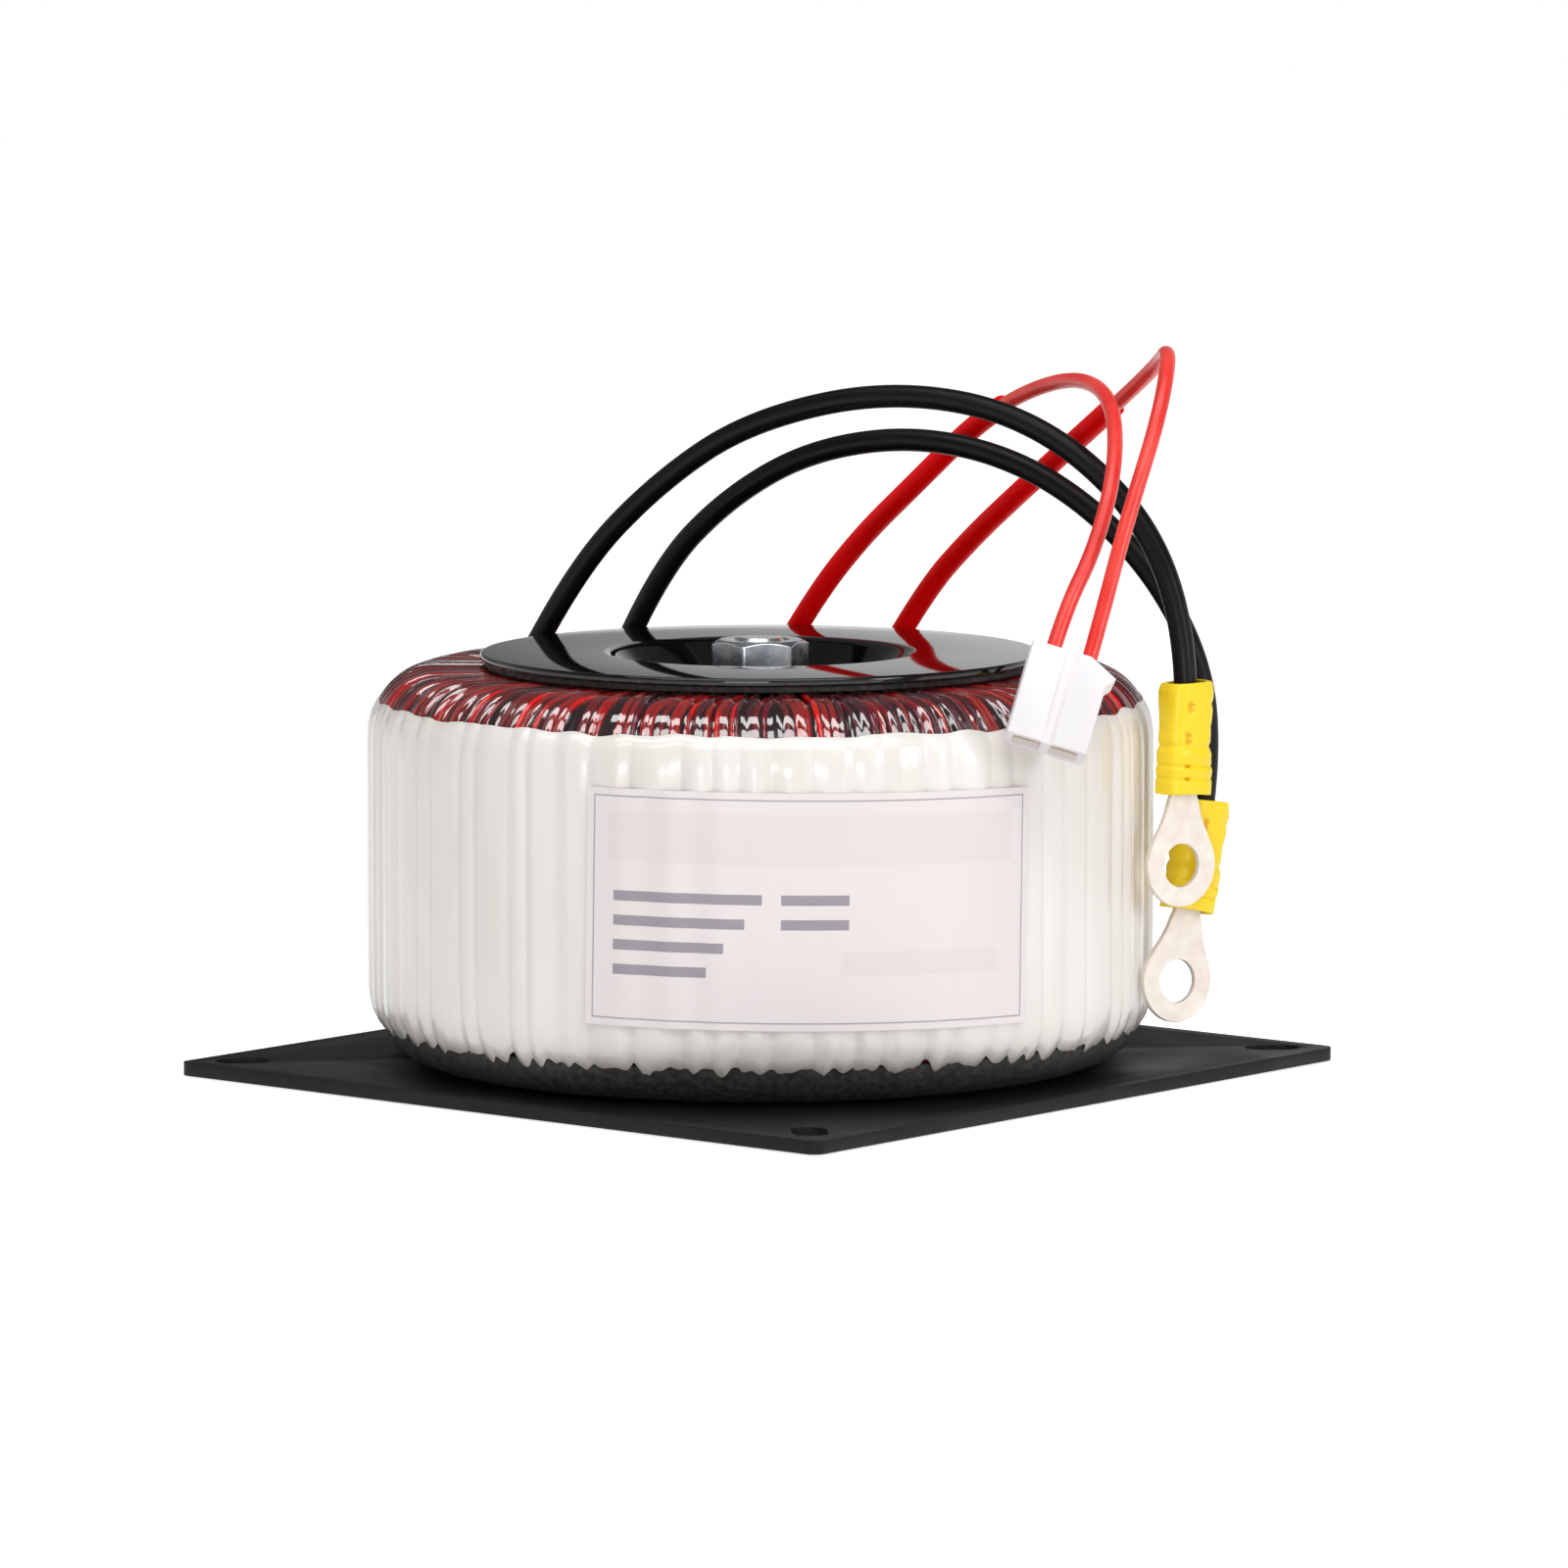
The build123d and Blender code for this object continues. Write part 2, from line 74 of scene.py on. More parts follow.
# The four leads, in metres: each curve follows its route from the winding to its far end.
leads = {
    "upperLead": {
        "node": "black_lead_upper", "diameter": 0.0035, "length": 0.1564, "slot": "black_lead",
        "end": "fitting", "pieces": ["upperTerminal", "upperBarrel", "upperTerminalSleeve"],
        "route": [
            (-0.0322, 0.0354, 0.0603), (-0.0257, 0.0313, 0.0736), (-0.0137, 0.0248, 0.0872),
            (-0.0002, 0.0157, 0.0974), (0.0202, 0.0033, 0.1029), (0.0400, -0.0094, 0.0996),
            (0.0557, -0.0187, 0.0859), (0.0620, -0.0240, 0.0676), (0.0615, -0.0245, 0.0546),
        ],
    },
    "lowerLead": {
        "node": "black_lead_lower", "diameter": 0.0035, "length": 0.155, "slot": "black_lead",
        "end": "fitting", "pieces": ["lowerTerminal", "lowerBarrel", "lowerTerminalSleeve"],
        "route": [
            (-0.0171, 0.0443, 0.0603), (-0.0121, 0.0406, 0.0724), (-0.0023, 0.0339, 0.0839),
            (0.0102, 0.0244, 0.0923), (0.0266, 0.0128, 0.0952), (0.0428, 0.0010, 0.0908),
            (0.0566, -0.0095, 0.0790), (0.0650, -0.0159, 0.0635), (0.0666, -0.0156, 0.0477),
            (0.0645, -0.0174, 0.0360),
        ],
    },
    "leftLead": {
        "node": "red_lead_left", "diameter": 0.00235, "length": 0.1512, "slot": "red_lead",
        "end": "connector", "pieces": ["leftSleeve", "housing", "connector_contact_left"],
        "route": [
            (0.0086, 0.0466, 0.0603), (0.0127, 0.0431, 0.0682), (0.0195, 0.0377, 0.0779),
            (0.0265, 0.0275, 0.0866), (0.0346, 0.0175, 0.0965), (0.0412, 0.0068, 0.1023),
            (0.0477, -0.0071, 0.1054), (0.0509, -0.0214, 0.1029), (0.0496, -0.0349, 0.0937),
            (0.0455, -0.0434, 0.0826), (0.0401, -0.0484, 0.0734), (0.0367, -0.0523, 0.0636),
        ],
    },
    "rightLead": {
        "node": "red_lead_right", "diameter": 0.00235, "length": 0.1533, "slot": "red_lead",
        "end": "connector", "pieces": ["rightSleeve", "connector_contact_right"],
        "route": [
            (0.0247, 0.0415, 0.0603), (0.0293, 0.0369, 0.0695), (0.0355, 0.0285, 0.0782),
            (0.0414, 0.0183, 0.0857), (0.0480, 0.0082, 0.0936), (0.0584, -0.0122, 0.1068),
            (0.0587, -0.0268, 0.1113), (0.0557, -0.0385, 0.1021), (0.0495, -0.0462, 0.0861),
            (0.0454, -0.0490, 0.0718), (0.0420, -0.0529, 0.0620),
        ],
    },
}
leadDetail = {"order": 3, "stepsAlong": 12, "stepsRound": 6}


def leadCurve(name):
    lead = leads[name]
    curve = bpy.data.curves.new(name, "CURVE")
    curve.dimensions = "3D"
    spline = curve.splines.new("NURBS")
    spline.points.add(len(lead["route"]) - 1)
    for point, place in zip(spline.points, lead["route"]):
        point.co = (*place, 1)
    spline.order_u = leadDetail["order"]
    spline.use_endpoint_u = True
    spline.resolution_u = leadDetail["stepsAlong"]
    curve.bevel_depth = lead["diameter"] / 2
    curve.bevel_resolution = leadDetail["stepsRound"]
    curve.use_fill_caps = True
    curve.materials.append(leadPaint[lead["slot"]])
    return addObject(name, curve, (lead["node"],))


# A curve gets its material before it joins the scene, so these two exist first and are filled in below.
leadPaint = {slot: bpy.data.materials.new(slot) for slot in ("black_lead", "red_lead")}
leadObjects = {name: leadCurve(name) for name in leads}
print("leads made")


# The shader's colour for a screen colour, each channel 0 to 1.
def linear(colour):
    return tuple(c / 12.92 if c <= 0.04045 else ((c + 0.055) / 1.055) ** 2.4 for c in colour)


# A material of one colour; further words name the shader's sockets, with _ for a space.
def plain(name, colour, roughness, **sockets):
    made = leadPaint.get(name) or bpy.data.materials.new(name)
    made.use_nodes = True
    shader = made.node_tree.nodes["Principled BSDF"]
    shader.inputs["Base Color"].default_value = (*linear(colour), 1)
    shader.inputs["Roughness"].default_value = roughness
    for socket, value in sockets.items():
        shader.inputs[socket.replace("_", " ")].default_value = value
    return made


paint = {
    "plate": plain("plate_paint", (0.045, 0.034, 0.03), 0.5, Specular_IOR_Level=0.2),
    "dish": plain("dish_paint", (0.03, 0.03, 0.035), 0.05),
    "zinc": plain("zinc", (0.74, 0.75, 0.76), 0.24, Metallic=1.0),
    "rubber": plain("rubber", (0.16, 0.155, 0.15), 0.7),
    "core": plain("core_steel", (0.4, 0.41, 0.43), 0.4, Metallic=0.8),
    # the insulation under the wires: its dark purple is partly the layer below the strands and partly
    # painted shade in the gaps between them
    "under": plain("under_film_and_painted_shade", (0.17, 0.05, 0.09), 0.3),
    "copper": plain("primary_copper", (0.5, 0.2, 0.1), 0.3),
    "wireRed": plain("wire_red", (0.9, 0.07, 0.04), 0.14, Coat_Weight=0.6, Coat_Roughness=0.05),
    "wireDeep": plain("wire_deep", (0.66, 0.04, 0.06), 0.14, Coat_Weight=0.6, Coat_Roughness=0.05),
    "wireDark": plain("wire_dark", (0.42, 0.04, 0.14), 0.16, Coat_Weight=0.6, Coat_Roughness=0.05),
    "film": plain("clear_film", (0.2, 0.02, 0.05), 0.08, Alpha=0.42, IOR=3.0, Coat_Weight=1.0,
                  Coat_Roughness=0.05, Coat_IOR=2.2),
    "band": plain("milky_band", (0.945, 0.925, 0.905), 0.3, Coat_Weight=0.4, Coat_Roughness=0.1),
    "paper": plain("label_paper", (0.935, 0.9, 0.9), 0.42),
    "ink": plain("label_ink", (0.7, 0.68, 0.71), 0.5),
    "bar": plain("label_bar", (0.62, 0.6, 0.63), 0.5),
    "field": plain("label_field", (0.915, 0.885, 0.88), 0.5),
    "black": plain("black_lead", (0.025, 0.018, 0.016), 0.4, Specular_IOR_Level=0.2),
    "red": plain("red_lead", (0.93, 0.22, 0.19), 0.3),
    "sleeving": plain("red_sleeving", (0.97, 0.0, 0.01), 0.5, Specular_IOR_Level=0.15),
    "tin": plain("tinned_copper", (0.93, 0.89, 0.85), 0.45, Metallic=0.3),
    "yellow": plain("yellow_sleeving", (1.0, 0.87, 0.1), 0.36),
    # a darker yellow for the hollows of the crimped sleeve: painted shade
    "pitShade": plain("yellow_pit_painted_shade", (0.93, 0.7, 0.05), 0.5),
    "housing": plain("white_housing", (0.95, 0.93, 0.94), 0.34, Subsurface_Weight=0.05),
    "contact": plain("contact_metal", (0.86, 0.78, 0.6), 0.3, Metallic=1.0),
}
# The part of a noise's values over which a colour or a roughness changes.
noiseSpan = {"colour": (0.35, 0.65), "roughness": (0.3, 0.7)}


# A noise texture in the object's own metres; returns its value socket.
def noise(look, scale, detail, stretch=(1, 1, 1)):
    tree = paint[look].node_tree
    place = tree.nodes.new("ShaderNodeTexCoord")
    sized = tree.nodes.new("ShaderNodeMapping")
    sized.inputs["Scale"].default_value = stretch
    grain = tree.nodes.new("ShaderNodeTexNoise")
    grain.inputs["Scale"].default_value = scale
    grain.inputs["Detail"].default_value = detail
    tree.links.new(place.outputs["Object"], sized.inputs["Vector"])
    tree.links.new(sized.outputs["Vector"], grain.inputs["Vector"])
    return grain.outputs["Fac"]


# The base colour runs from low to high with a noise.
def mottled(look, low, high, **grain):
    tree = paint[look].node_tree
    ramp = tree.nodes.new("ShaderNodeValToRGB")
    for element, position, colour in zip(ramp.color_ramp.elements, noiseSpan["colour"], (low, high)):
        element.position = position
        element.color = (*linear(colour), 1)
    tree.links.new(noise(look, **grain), ramp.inputs["Fac"])
    tree.links.new(ramp.outputs["Color"], tree.nodes["Principled BSDF"].inputs["Base Color"])


# The roughness runs from low to high with a noise.
def worn(look, low, high, **grain):
    tree = paint[look].node_tree
    spread = tree.nodes.new("ShaderNodeMapRange")
    start, end = noiseSpan["roughness"]
    for socket, number in (("From Min", start), ("From Max", end), ("To Min", low), ("To Max", high)):
        spread.inputs[socket].default_value = number
    tree.links.new(noise(look, **grain), spread.inputs["Value"])
    tree.links.new(spread.outputs["Result"], tree.nodes["Principled BSDF"].inputs["Roughness"])


# A fine bump from a noise, its depth in metres.
def grained(look, strength, depth, **grain):
    tree = paint[look].node_tree
    bump = tree.nodes.new("ShaderNodeBump")
    bump.inputs["Strength"].default_value = strength
    bump.inputs["Distance"].default_value = depth
    tree.links.new(noise(look, **grain), bump.inputs["Height"])
    tree.links.new(bump.outputs["Normal"], tree.nodes["Principled BSDF"].inputs["Normal"])


grained("plate", strength=0.25, depth=0.00003, scale=2600, detail=2)
worn("plate", 0.45, 0.6, scale=60, detail=3)
grained("dish", strength=0.05, depth=0.00005, scale=220, detail=1)
mottled("zinc", (0.84, 0.87, 0.91), (0.93, 0.93, 0.92), scale=260, detail=2)
worn("zinc", 0.2, 0.32, scale=500, detail=4)
grained("rubber", strength=0.6, depth=0.0001, scale=1800, detail=4)
mottled("rubber", (0.11, 0.105, 0.1), (0.25, 0.24, 0.225), scale=900, detail=4)
mottled("band", (0.92, 0.895, 0.87), (0.95, 0.935, 0.915), scale=70, detail=2, stretch=(1, 1, 0.3))
grained("paper", strength=0.05, depth=0.00005, scale=900, detail=2)
worn("black", 0.34, 0.46, scale=150, detail=3)
mottled("red", (0.9, 0.17, 0.15), (0.96, 0.27, 0.23), scale=120, detail=2)
mottled("tin", (0.905, 0.86, 0.82), (0.95, 0.915, 0.88), scale=400, detail=3)
grained("tin", strength=0.08, depth=0.00005, scale=1200, detail=2)
grained("yellow", strength=0.1, depth=0.0001, scale=700, detail=2)
print("materials made")


# Faces of a lattice whose points are numbered row by row.
def latticeFaces(rows, columns, wrapRows, wrapColumns):
    row = np.arange(rows if wrapRows else rows - 1)
    column = np.arange(columns if wrapColumns else columns - 1)
    r, c = np.meshgrid(row, column, indexing="ij")
    nextR, nextC = (r + 1) % rows, (c + 1) % columns
    corners = (r * columns + c, r * columns + nextC, nextR * columns + nextC, nextR * columns + c)
    return np.stack(corners, -1).reshape(-1, 4)


# Places round the Z axis: radius, angle and height may be numbers or arrays.
def roundAxis(radius, angle, height):
    radius, angle, height = np.broadcast_arrays(radius, angle, height)
    return np.stack([radius * np.cos(angle), radius * np.sin(angle), height], -1)


def fullTurn(steps):
    return np.linspace(0, 2 * np.pi, steps, endpoint=False)


# A mesh object from points in mm; looks holds the further materials and each face's material index.
def meshObject(name, points, faces, look, replaces=(), looks=None, matrix=None):
    points = np.asarray(points, float).reshape(-1, 3)
    if matrix is not None:
        points = points @ np.array(matrix)[:3, :3].T + np.array(matrix)[:3, 3]
    mesh = bpy.data.meshes.new(name)
    mesh.from_pydata((points * mm).tolist(), [], [list(map(int, face)) for face in faces])
    mesh.materials.append(paint[look])
    if looks:
        for extra in looks[0]:
            mesh.materials.append(paint[extra])
        mesh.polygons.foreach_set("material_index", np.asarray(looks[1], np.int32))
    mesh.polygons.foreach_set("use_smooth", [True] * len(mesh.polygons))
    mesh.update()
    return addObject(name, mesh, replaces)


def sharpen(made, degrees):
    made.data.set_sharp_from_angle(angle=math.radians(degrees))
    return made


# Profile points (r, z) through corners (r, z, radius), each rounded by its radius.
def roundedProfile(corners, steps):
    profile = []
    for index, (r, z, radius) in enumerate(corners):
        if radius == 0:
            profile.append((r, z))
            continue
        here = Vector((r, z))
        before = Vector(corners[index - 1][:2]) - here
        after = Vector(corners[(index + 1) % len(corners)][:2]) - here
        half = before.angle(after) / 2
        reach = radius / math.tan(half)
        start = here + before.normalized() * reach
        end = here + after.normalized() * reach
        centre = here + (before.normalized() + after.normalized()).normalized() * (radius / math.sin(half))
        spoke = start - centre
        turn = spoke.angle_signed(end - centre)
        for step in range(steps + 1):
            spun = spoke.copy()
            spun.rotate(Matrix.Rotation(-turn * step / steps, 2))
            profile.append(tuple(centre + spun))
    return profile


# Points and faces of a closed profile turned round the Z axis.
def turnedShape(corners, around, steps):
    profile = np.array(roundedProfile(corners, steps))
    points = roundAxis(profile[None, :, 0], fullTurn(around)[:, None], profile[None, :, 1])
    return points, latticeFaces(around, len(profile), True, True)


# A welding distance in metres and three angles in degrees.
edges = {"weld": 0.000002, "flat": 0.4, "corner": 35, "sharp": 40}


# A CAD node's mesh again, with its flat faces joined and its edges rounded by a bevel in mm.
def refined(name, node, look, bevel, segments=2):
    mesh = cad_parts[node].data.copy()
    mesh.name = name
    mesh.materials.clear()
    mesh.materials.append(paint[look])
    mesh.polygons.foreach_set("use_smooth", [True] * len(mesh.polygons))
    made = addObject(name, mesh, (node,))
    weld = made.modifiers.new("weld", "WELD")
    weld.merge_threshold = edges["weld"]
    join = made.modifiers.new("join", "DECIMATE")
    join.decimate_type = "DISSOLVE"
    join.angle_limit = math.radians(edges["flat"])
    edge = made.modifiers.new("edge", "BEVEL")
    edge.width = bevel * mm
    edge.segments = segments
    edge.limit_method = "ANGLE"
    edge.angle_limit = math.radians(edges["corner"])
    edge.harden_normals = True
    return sharpen(made, edges["sharp"])


# The hidden solids of the CAD keep their shape and take a look.
def dressed(node, look):
    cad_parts[node].data.materials.clear()
    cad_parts[node].data.materials.append(paint[look])


# A curve's mesh, read through an object that is removed again.
def curveMesh(curve):
    holder = bpy.data.objects.new("holder", curve)
    scene.collection.objects.link(holder)
    bpy.context.view_layer.update()
    mesh = bpy.data.meshes.new_from_object(holder.evaluated_get(bpy.context.evaluated_depsgraph_get()))
    bpy.data.objects.remove(holder)
    return mesh


# A smooth wave round the circle, of about unit height: a seed, the lowest and highest number of ups and
# downs in a turn, and how many such harmonics are added. The dictionaries hold a wave in that order.
def wave(angle, seed, lowest, highest, count=6):
    chance = np.random.default_rng(seed)
    total = np.zeros_like(angle)
    for _ in range(count):
        total = total + np.cos(chance.integers(lowest, highest + 1) * angle + chance.uniform(0, 2 * np.pi))
    return total / math.sqrt(count / 2)


# A smooth bump of unit height at centre.
def bell(value, centre, width):
    return np.exp(-((value - centre) / width) ** 2)


# Loose sleeves on the first part of the red leads; sizes in mm.
sleeves = {
    "leftSleeve": {"lead": "leftLead", "node": "red_sleeve_left", "length": 60.5, "seed": 3},
    "rightSleeve": {"lead": "rightLead", "node": "red_sleeve_right", "length": 66.0, "seed": 8},
}
sleeveSize = {"outer": 1.7, "bore": 1.26, "around": 28, "ragged": 0.35}


# Places in mm read from a lead's own curve, and the direction at each.
def alongLead(leadName):
    line = leadObjects[leadName].data.copy()
    line.bevel_depth = 0
    mesh = curveMesh(line)
    track = [vertex.co / mm for vertex in mesh.vertices]
    bpy.data.meshes.remove(mesh)
    bpy.data.curves.remove(line)
    heads = [(after - before).normalized() for before, after in zip(track, track[1:])]
    return track, heads + heads[-1:]


# A sleeve as long as stated, with a roughly cut end.
def makeSleeve(name):
    sleeve, size = sleeves[name], sleeveSize
    track, heads = alongLead(sleeve["lead"])
    travelled = np.cumsum([0] + [(after - before).length for before, after in zip(track, track[1:])])
    last = int(np.searchsorted(travelled, sleeve["length"]))
    angle = fullTurn(size["around"])
    side = heads[0].cross(Vector((0, 0, 1))).normalized()
    centres, spreads = [], []
    for place, head in zip(track[: last + 1], heads):
        side = (side - head * side.dot(head)).normalized()
        up = head.cross(side)
        centres.append(np.array(place) + np.zeros((size["around"], 3)))
        spreads.append(np.cos(angle)[:, None] * np.array(side) + np.sin(angle)[:, None] * np.array(up))
    ragged = size["ragged"] * wave(angle, sleeve["seed"], 1, 4)[:, None]
    centres[-1] = centres[-1] + ragged * np.array(heads[last])
    outer = [centre + spread * size["outer"] for centre, spread in zip(centres, spreads)]
    inner = [centre + spread * size["bore"] for centre, spread in zip(centres, spreads)]
    points = np.array(outer + inner[::-1])
    faces = latticeFaces(len(points), size["around"], True, True)
    return sharpen(meshObject(name, points, faces, "sleeving", (sleeve["node"],)), 60)


for name in sleeves:
    makeSleeve(name)
print("sleeves made")


# Sizes in mm; drop is from the lead's end down to the ring's centre. shoulder holds the outline's half
# widths and heights above that centre, from the barrel to where the ring's arc takes over.
terminal = {
    "turn": 29.0, "drop": 21.3, "ring": 6.25, "hole": 3.25, "thickness": 1.0, "edge": 0.16,
    "shoulder": ((2.3, 12.3), (2.4, 10.4), (2.8, 9.4), (3.2, 7.8), (3.9, 6.1), (4.7, 4.6)),
    "arcFrom": 2.9, "arcSteps": 48, "sharp": 50,
    "barrelTop": 0.0, "barrelFoot": -5.2, "barrelBore": 1.3, "barrelOuter": 1.9, "barrelAround": 32,
}


# A matrix in mm at a lead's end: z back along the lead, x level and turned about z.
def endFrame(leadName, turn):
    route = [Vector(place) / mm for place in leads[leadName]["route"]]
    back = (route[-2] - route[-1]).normalized()
    across = Vector((math.cos(math.radians(turn)), math.sin(math.radians(turn)), 0))
    across = (across - back * across.dot(back)).normalized()
    made = Matrix((across, back.cross(across), back)).transposed().to_4x4()
    made.translation = route[-1]
    return made


# The ring terminal's outline, (across, up): neck, flowing shoulders and the ring.
def ringOutline():
    t = terminal
    start = math.asin(t["arcFrom"] / t["ring"])
    arc = []
    for step in range(t["arcSteps"] + 1):
        angle = start - (math.pi + 2 * start) * step / t["arcSteps"]
        arc.append((t["ring"] * math.cos(angle), t["ring"] * math.sin(angle) - t["drop"]))
    right = [(x, z - t["drop"]) for x, z in t["shoulder"]]
    left = [(-x, z) for x, z in right[::-1]]
    return right + arc + left


# The hole for the screw.
def ringHole():
    t = terminal
    return [(t["hole"] * math.cos(a), t["hole"] * math.sin(a) - t["drop"]) for a in fullTurn(t["arcSteps"])]


# The ring terminal's flat part, stamped from sheet with rolled edges.
def makeRing(name, matrix, node):
    t = terminal
    curve = bpy.data.curves.new(name, "CURVE")
    curve.dimensions = "2D"
    curve.fill_mode = "BOTH"
    for outline in (ringOutline(), ringHole()):
        spline = curve.splines.new("POLY")
        spline.points.add(len(outline) - 1)
        for point, (x, y) in zip(spline.points, outline):
            point.co = (x * mm, y * mm, 0, 1)
        spline.use_cyclic_u = True
    curve.extrude = (t["thickness"] / 2 - t["edge"]) * mm
    curve.bevel_depth = t["edge"] * mm
    curve.bevel_resolution = 2
    curve.offset = -t["edge"] * mm
    mesh = curveMesh(curve)
    placed = matrix.copy()
    placed.translation = placed.translation * mm
    mesh.transform(placed @ Matrix.Rotation(math.radians(90), 4, "X"))
    mesh.materials.clear()
    mesh.materials.append(paint["tin"])
    mesh.polygons.foreach_set("use_smooth", [True] * len(mesh.polygons))
    return sharpen(addObject(name, mesh, (node,)), t["sharp"])


def makeBarrel(name, matrix):
    t = terminal
    corners = [
        (t["barrelBore"], t["barrelFoot"], 0.1), (t["barrelOuter"], t["barrelFoot"], 0.2),
        (t["barrelOuter"], t["barrelTop"], 0.2), (t["barrelBore"], t["barrelTop"], 0.1),
    ]
    points, faces = turnedShape(corners, t["barrelAround"], 3)
    return sharpen(meshObject(name, points, faces, "tin", matrix=matrix), 35)


# The crimped sleeve, in mm, with heights from the lead's end. A dent is its height, place across and
# depth; a nick in the right edge, the waist and a swell are a height, a reach and a depth or rise.
cover = {
    "rows": 130, "around": 150, "top": 6.1, "bottom": -10.4, "wide": 3.95, "deep": 3.15, "wall": 0.8,
    "squareness": 3.2, "wobble": 0.08, "topWide": 0.86, "topEnds": 0.08, "edgeSharp": 3, "facePart": 0.7,
    "thin": 0.92, "flat": (0.4, 0.2, 0.05), "flare": 0.08, "lip": 0.2, "slant": 0.3, "endsOver": 0.1,
    "dents": ((3.0, -1.1, 0.35), (2.2, -1.1, 0.4), (-1.6, -1.3, 0.45), (-2.6, -1.3, 0.55)),
    "dentReach": 0.5,
    "grooves": (-6.3, -8.2), "grooveReach": 0.22, "grooveDeep": 0.26, "grooveNick": 0.16,
    "pitPlace": -1.3, "pitReach": 0.45, "pitDeep": 0.5, "pitShadeShown": 0.5, "innerStep": 6,
    "nicks": ((3.0, 0.5, 0.3), (-0.4, 0.6, 0.15)), "waist": (-3.4, 0.5, 0.22),
    "swells": ((-4.6, 0.5, 0.16), (-7.0, 0.35, 0.14), (-3.3, 0.35, -0.18)),
}


# The sleeve before its dents: x across, y deep, and 1 on its front and back that fades at the edges.
def coverSection(t, a, height, seed):
    c = cover
    right = np.clip(np.cos(a) * c["edgeSharp"], 0, 1)
    wide = c["wide"] * (c["topWide"] + (1 - c["topWide"]) * np.clip(t / c["topEnds"], 0, 1) ** 0.5)
    for at, reach, depth in c["nicks"]:
        wide = wide - depth * right * bell(height, at, reach)
    at, reach, depth = c["waist"]
    wide = wide - depth * bell(height, at, reach) + c["wobble"] * wave(a + t * 4, seed, 1, 3)
    at, reach, depth = c["flat"]
    deep = c["deep"] * (c["thin"] - depth * bell(t, at, reach) + c["flare"] * t ** 2)
    power = 2 / c["squareness"]
    x = wide * np.sign(np.cos(a)) * np.abs(np.cos(a)) ** power
    y = deep * np.sign(np.sin(a)) * np.abs(np.sin(a)) ** power
    return x, y, np.clip(np.abs(y) / (deep * c["facePart"]), 0, 1) ** 3


# The sleeve: rounded top, dents, two grooves with a hollow in each, and a plain lip; its hollows get
# painted shade.
def makeCover(name, matrix, node, seed):
    c = cover
    t = np.linspace(0, 1, c["rows"])[:, None]
    a = fullTurn(c["around"])[None, :]
    height = c["top"] + (c["bottom"] - c["top"]) * t
    x, y, onFace = coverSection(t, a, height, seed)
    face = np.sign(y)
    front = onFace * (y < 0)
    # how deep each front face lies in a dent or a groove's hollow; the deepest are painted darker, as shade
    pitShade = np.zeros_like(y)
    for at, across, depth in c["dents"]:
        dent = bell(height, at, c["dentReach"]) * bell(x, across, c["dentReach"])
        pitShade = np.maximum(pitShade, front * dent)
        y = y - face * onFace * depth * dent
    for at in c["grooves"]:
        groove = bell(height, at, c["grooveReach"])
        hollow = groove * bell(x, c["pitPlace"], c["pitReach"])
        pitShade = np.maximum(pitShade, front * hollow)
        y = y - face * onFace * (c["grooveDeep"] * groove + c["pitDeep"] * hollow)
        x = x - np.sign(x) * groove * c["grooveNick"] * (1 - onFace)
    for at, reach, rise in c["swells"]:
        y = y + face * onFace * rise * bell(height, at, reach)
    lip = c["lip"] * (x / c["wide"]) ** 2 * np.clip((t - 1 + c["endsOver"]) / c["endsOver"], 0, 1)
    z = height - lip + c["slant"] * (x / c["wide"]) * np.clip((c["endsOver"] - t) / c["endsOver"], 0, 1)
    outer = np.stack([x, y, z], -1)
    inward = np.clip(1 - c["wall"] / np.hypot(x, y), 0.2, 1)
    inner = np.stack([x * inward, y * inward, z], -1)
    top = outer[:1] * (0.9, 0.9, 1) + (0, 0, 0.12)
    mouth = outer[-1:] * (0.95, 0.95, 1) - (0, 0, 0.1)
    points = np.concatenate([top, outer, mouth, inner[::-c["innerStep"]], inner[:1]])
    faces = latticeFaces(len(points), c["around"], True, True)
    # faces deep in the dents and hollows take the darker yellow, painted shade where the hollows fall dark
    looks = np.zeros((len(points), c["around"]), int)
    looks[1:c["rows"] + 1][pitShade > c["pitShadeShown"]] = 1
    looks = (["pitShade"], looks.ravel())
    made = meshObject(name, points, faces, "yellow", (node,), looks, matrix)
    return sharpen(made, 70)


for side, seed in (("upper", 5), ("lower", 9)):
    place = endFrame(side + "Lead", terminal["turn"])
    makeRing(side + "Terminal", place, "terminal_" + side)
    makeBarrel(side + "Barrel", place)
    makeCover(side + "TerminalSleeve", place, "terminal_sleeve_" + side, seed)
print("terminals made")

refined("housing", "connector_housing", "housing", 0.22)
dressed("connector_contact_left", "contact")
dressed("connector_contact_right", "contact")
print("connector made")


# The coil's section in mm, as a rounded rectangle: inner and outer radius, bottom, top and corner.
coil = {"inner": 18.0, "outer": 58.7, "bottom": 4.0, "top": 61.4, "corner": 9.0, "turns": 68}


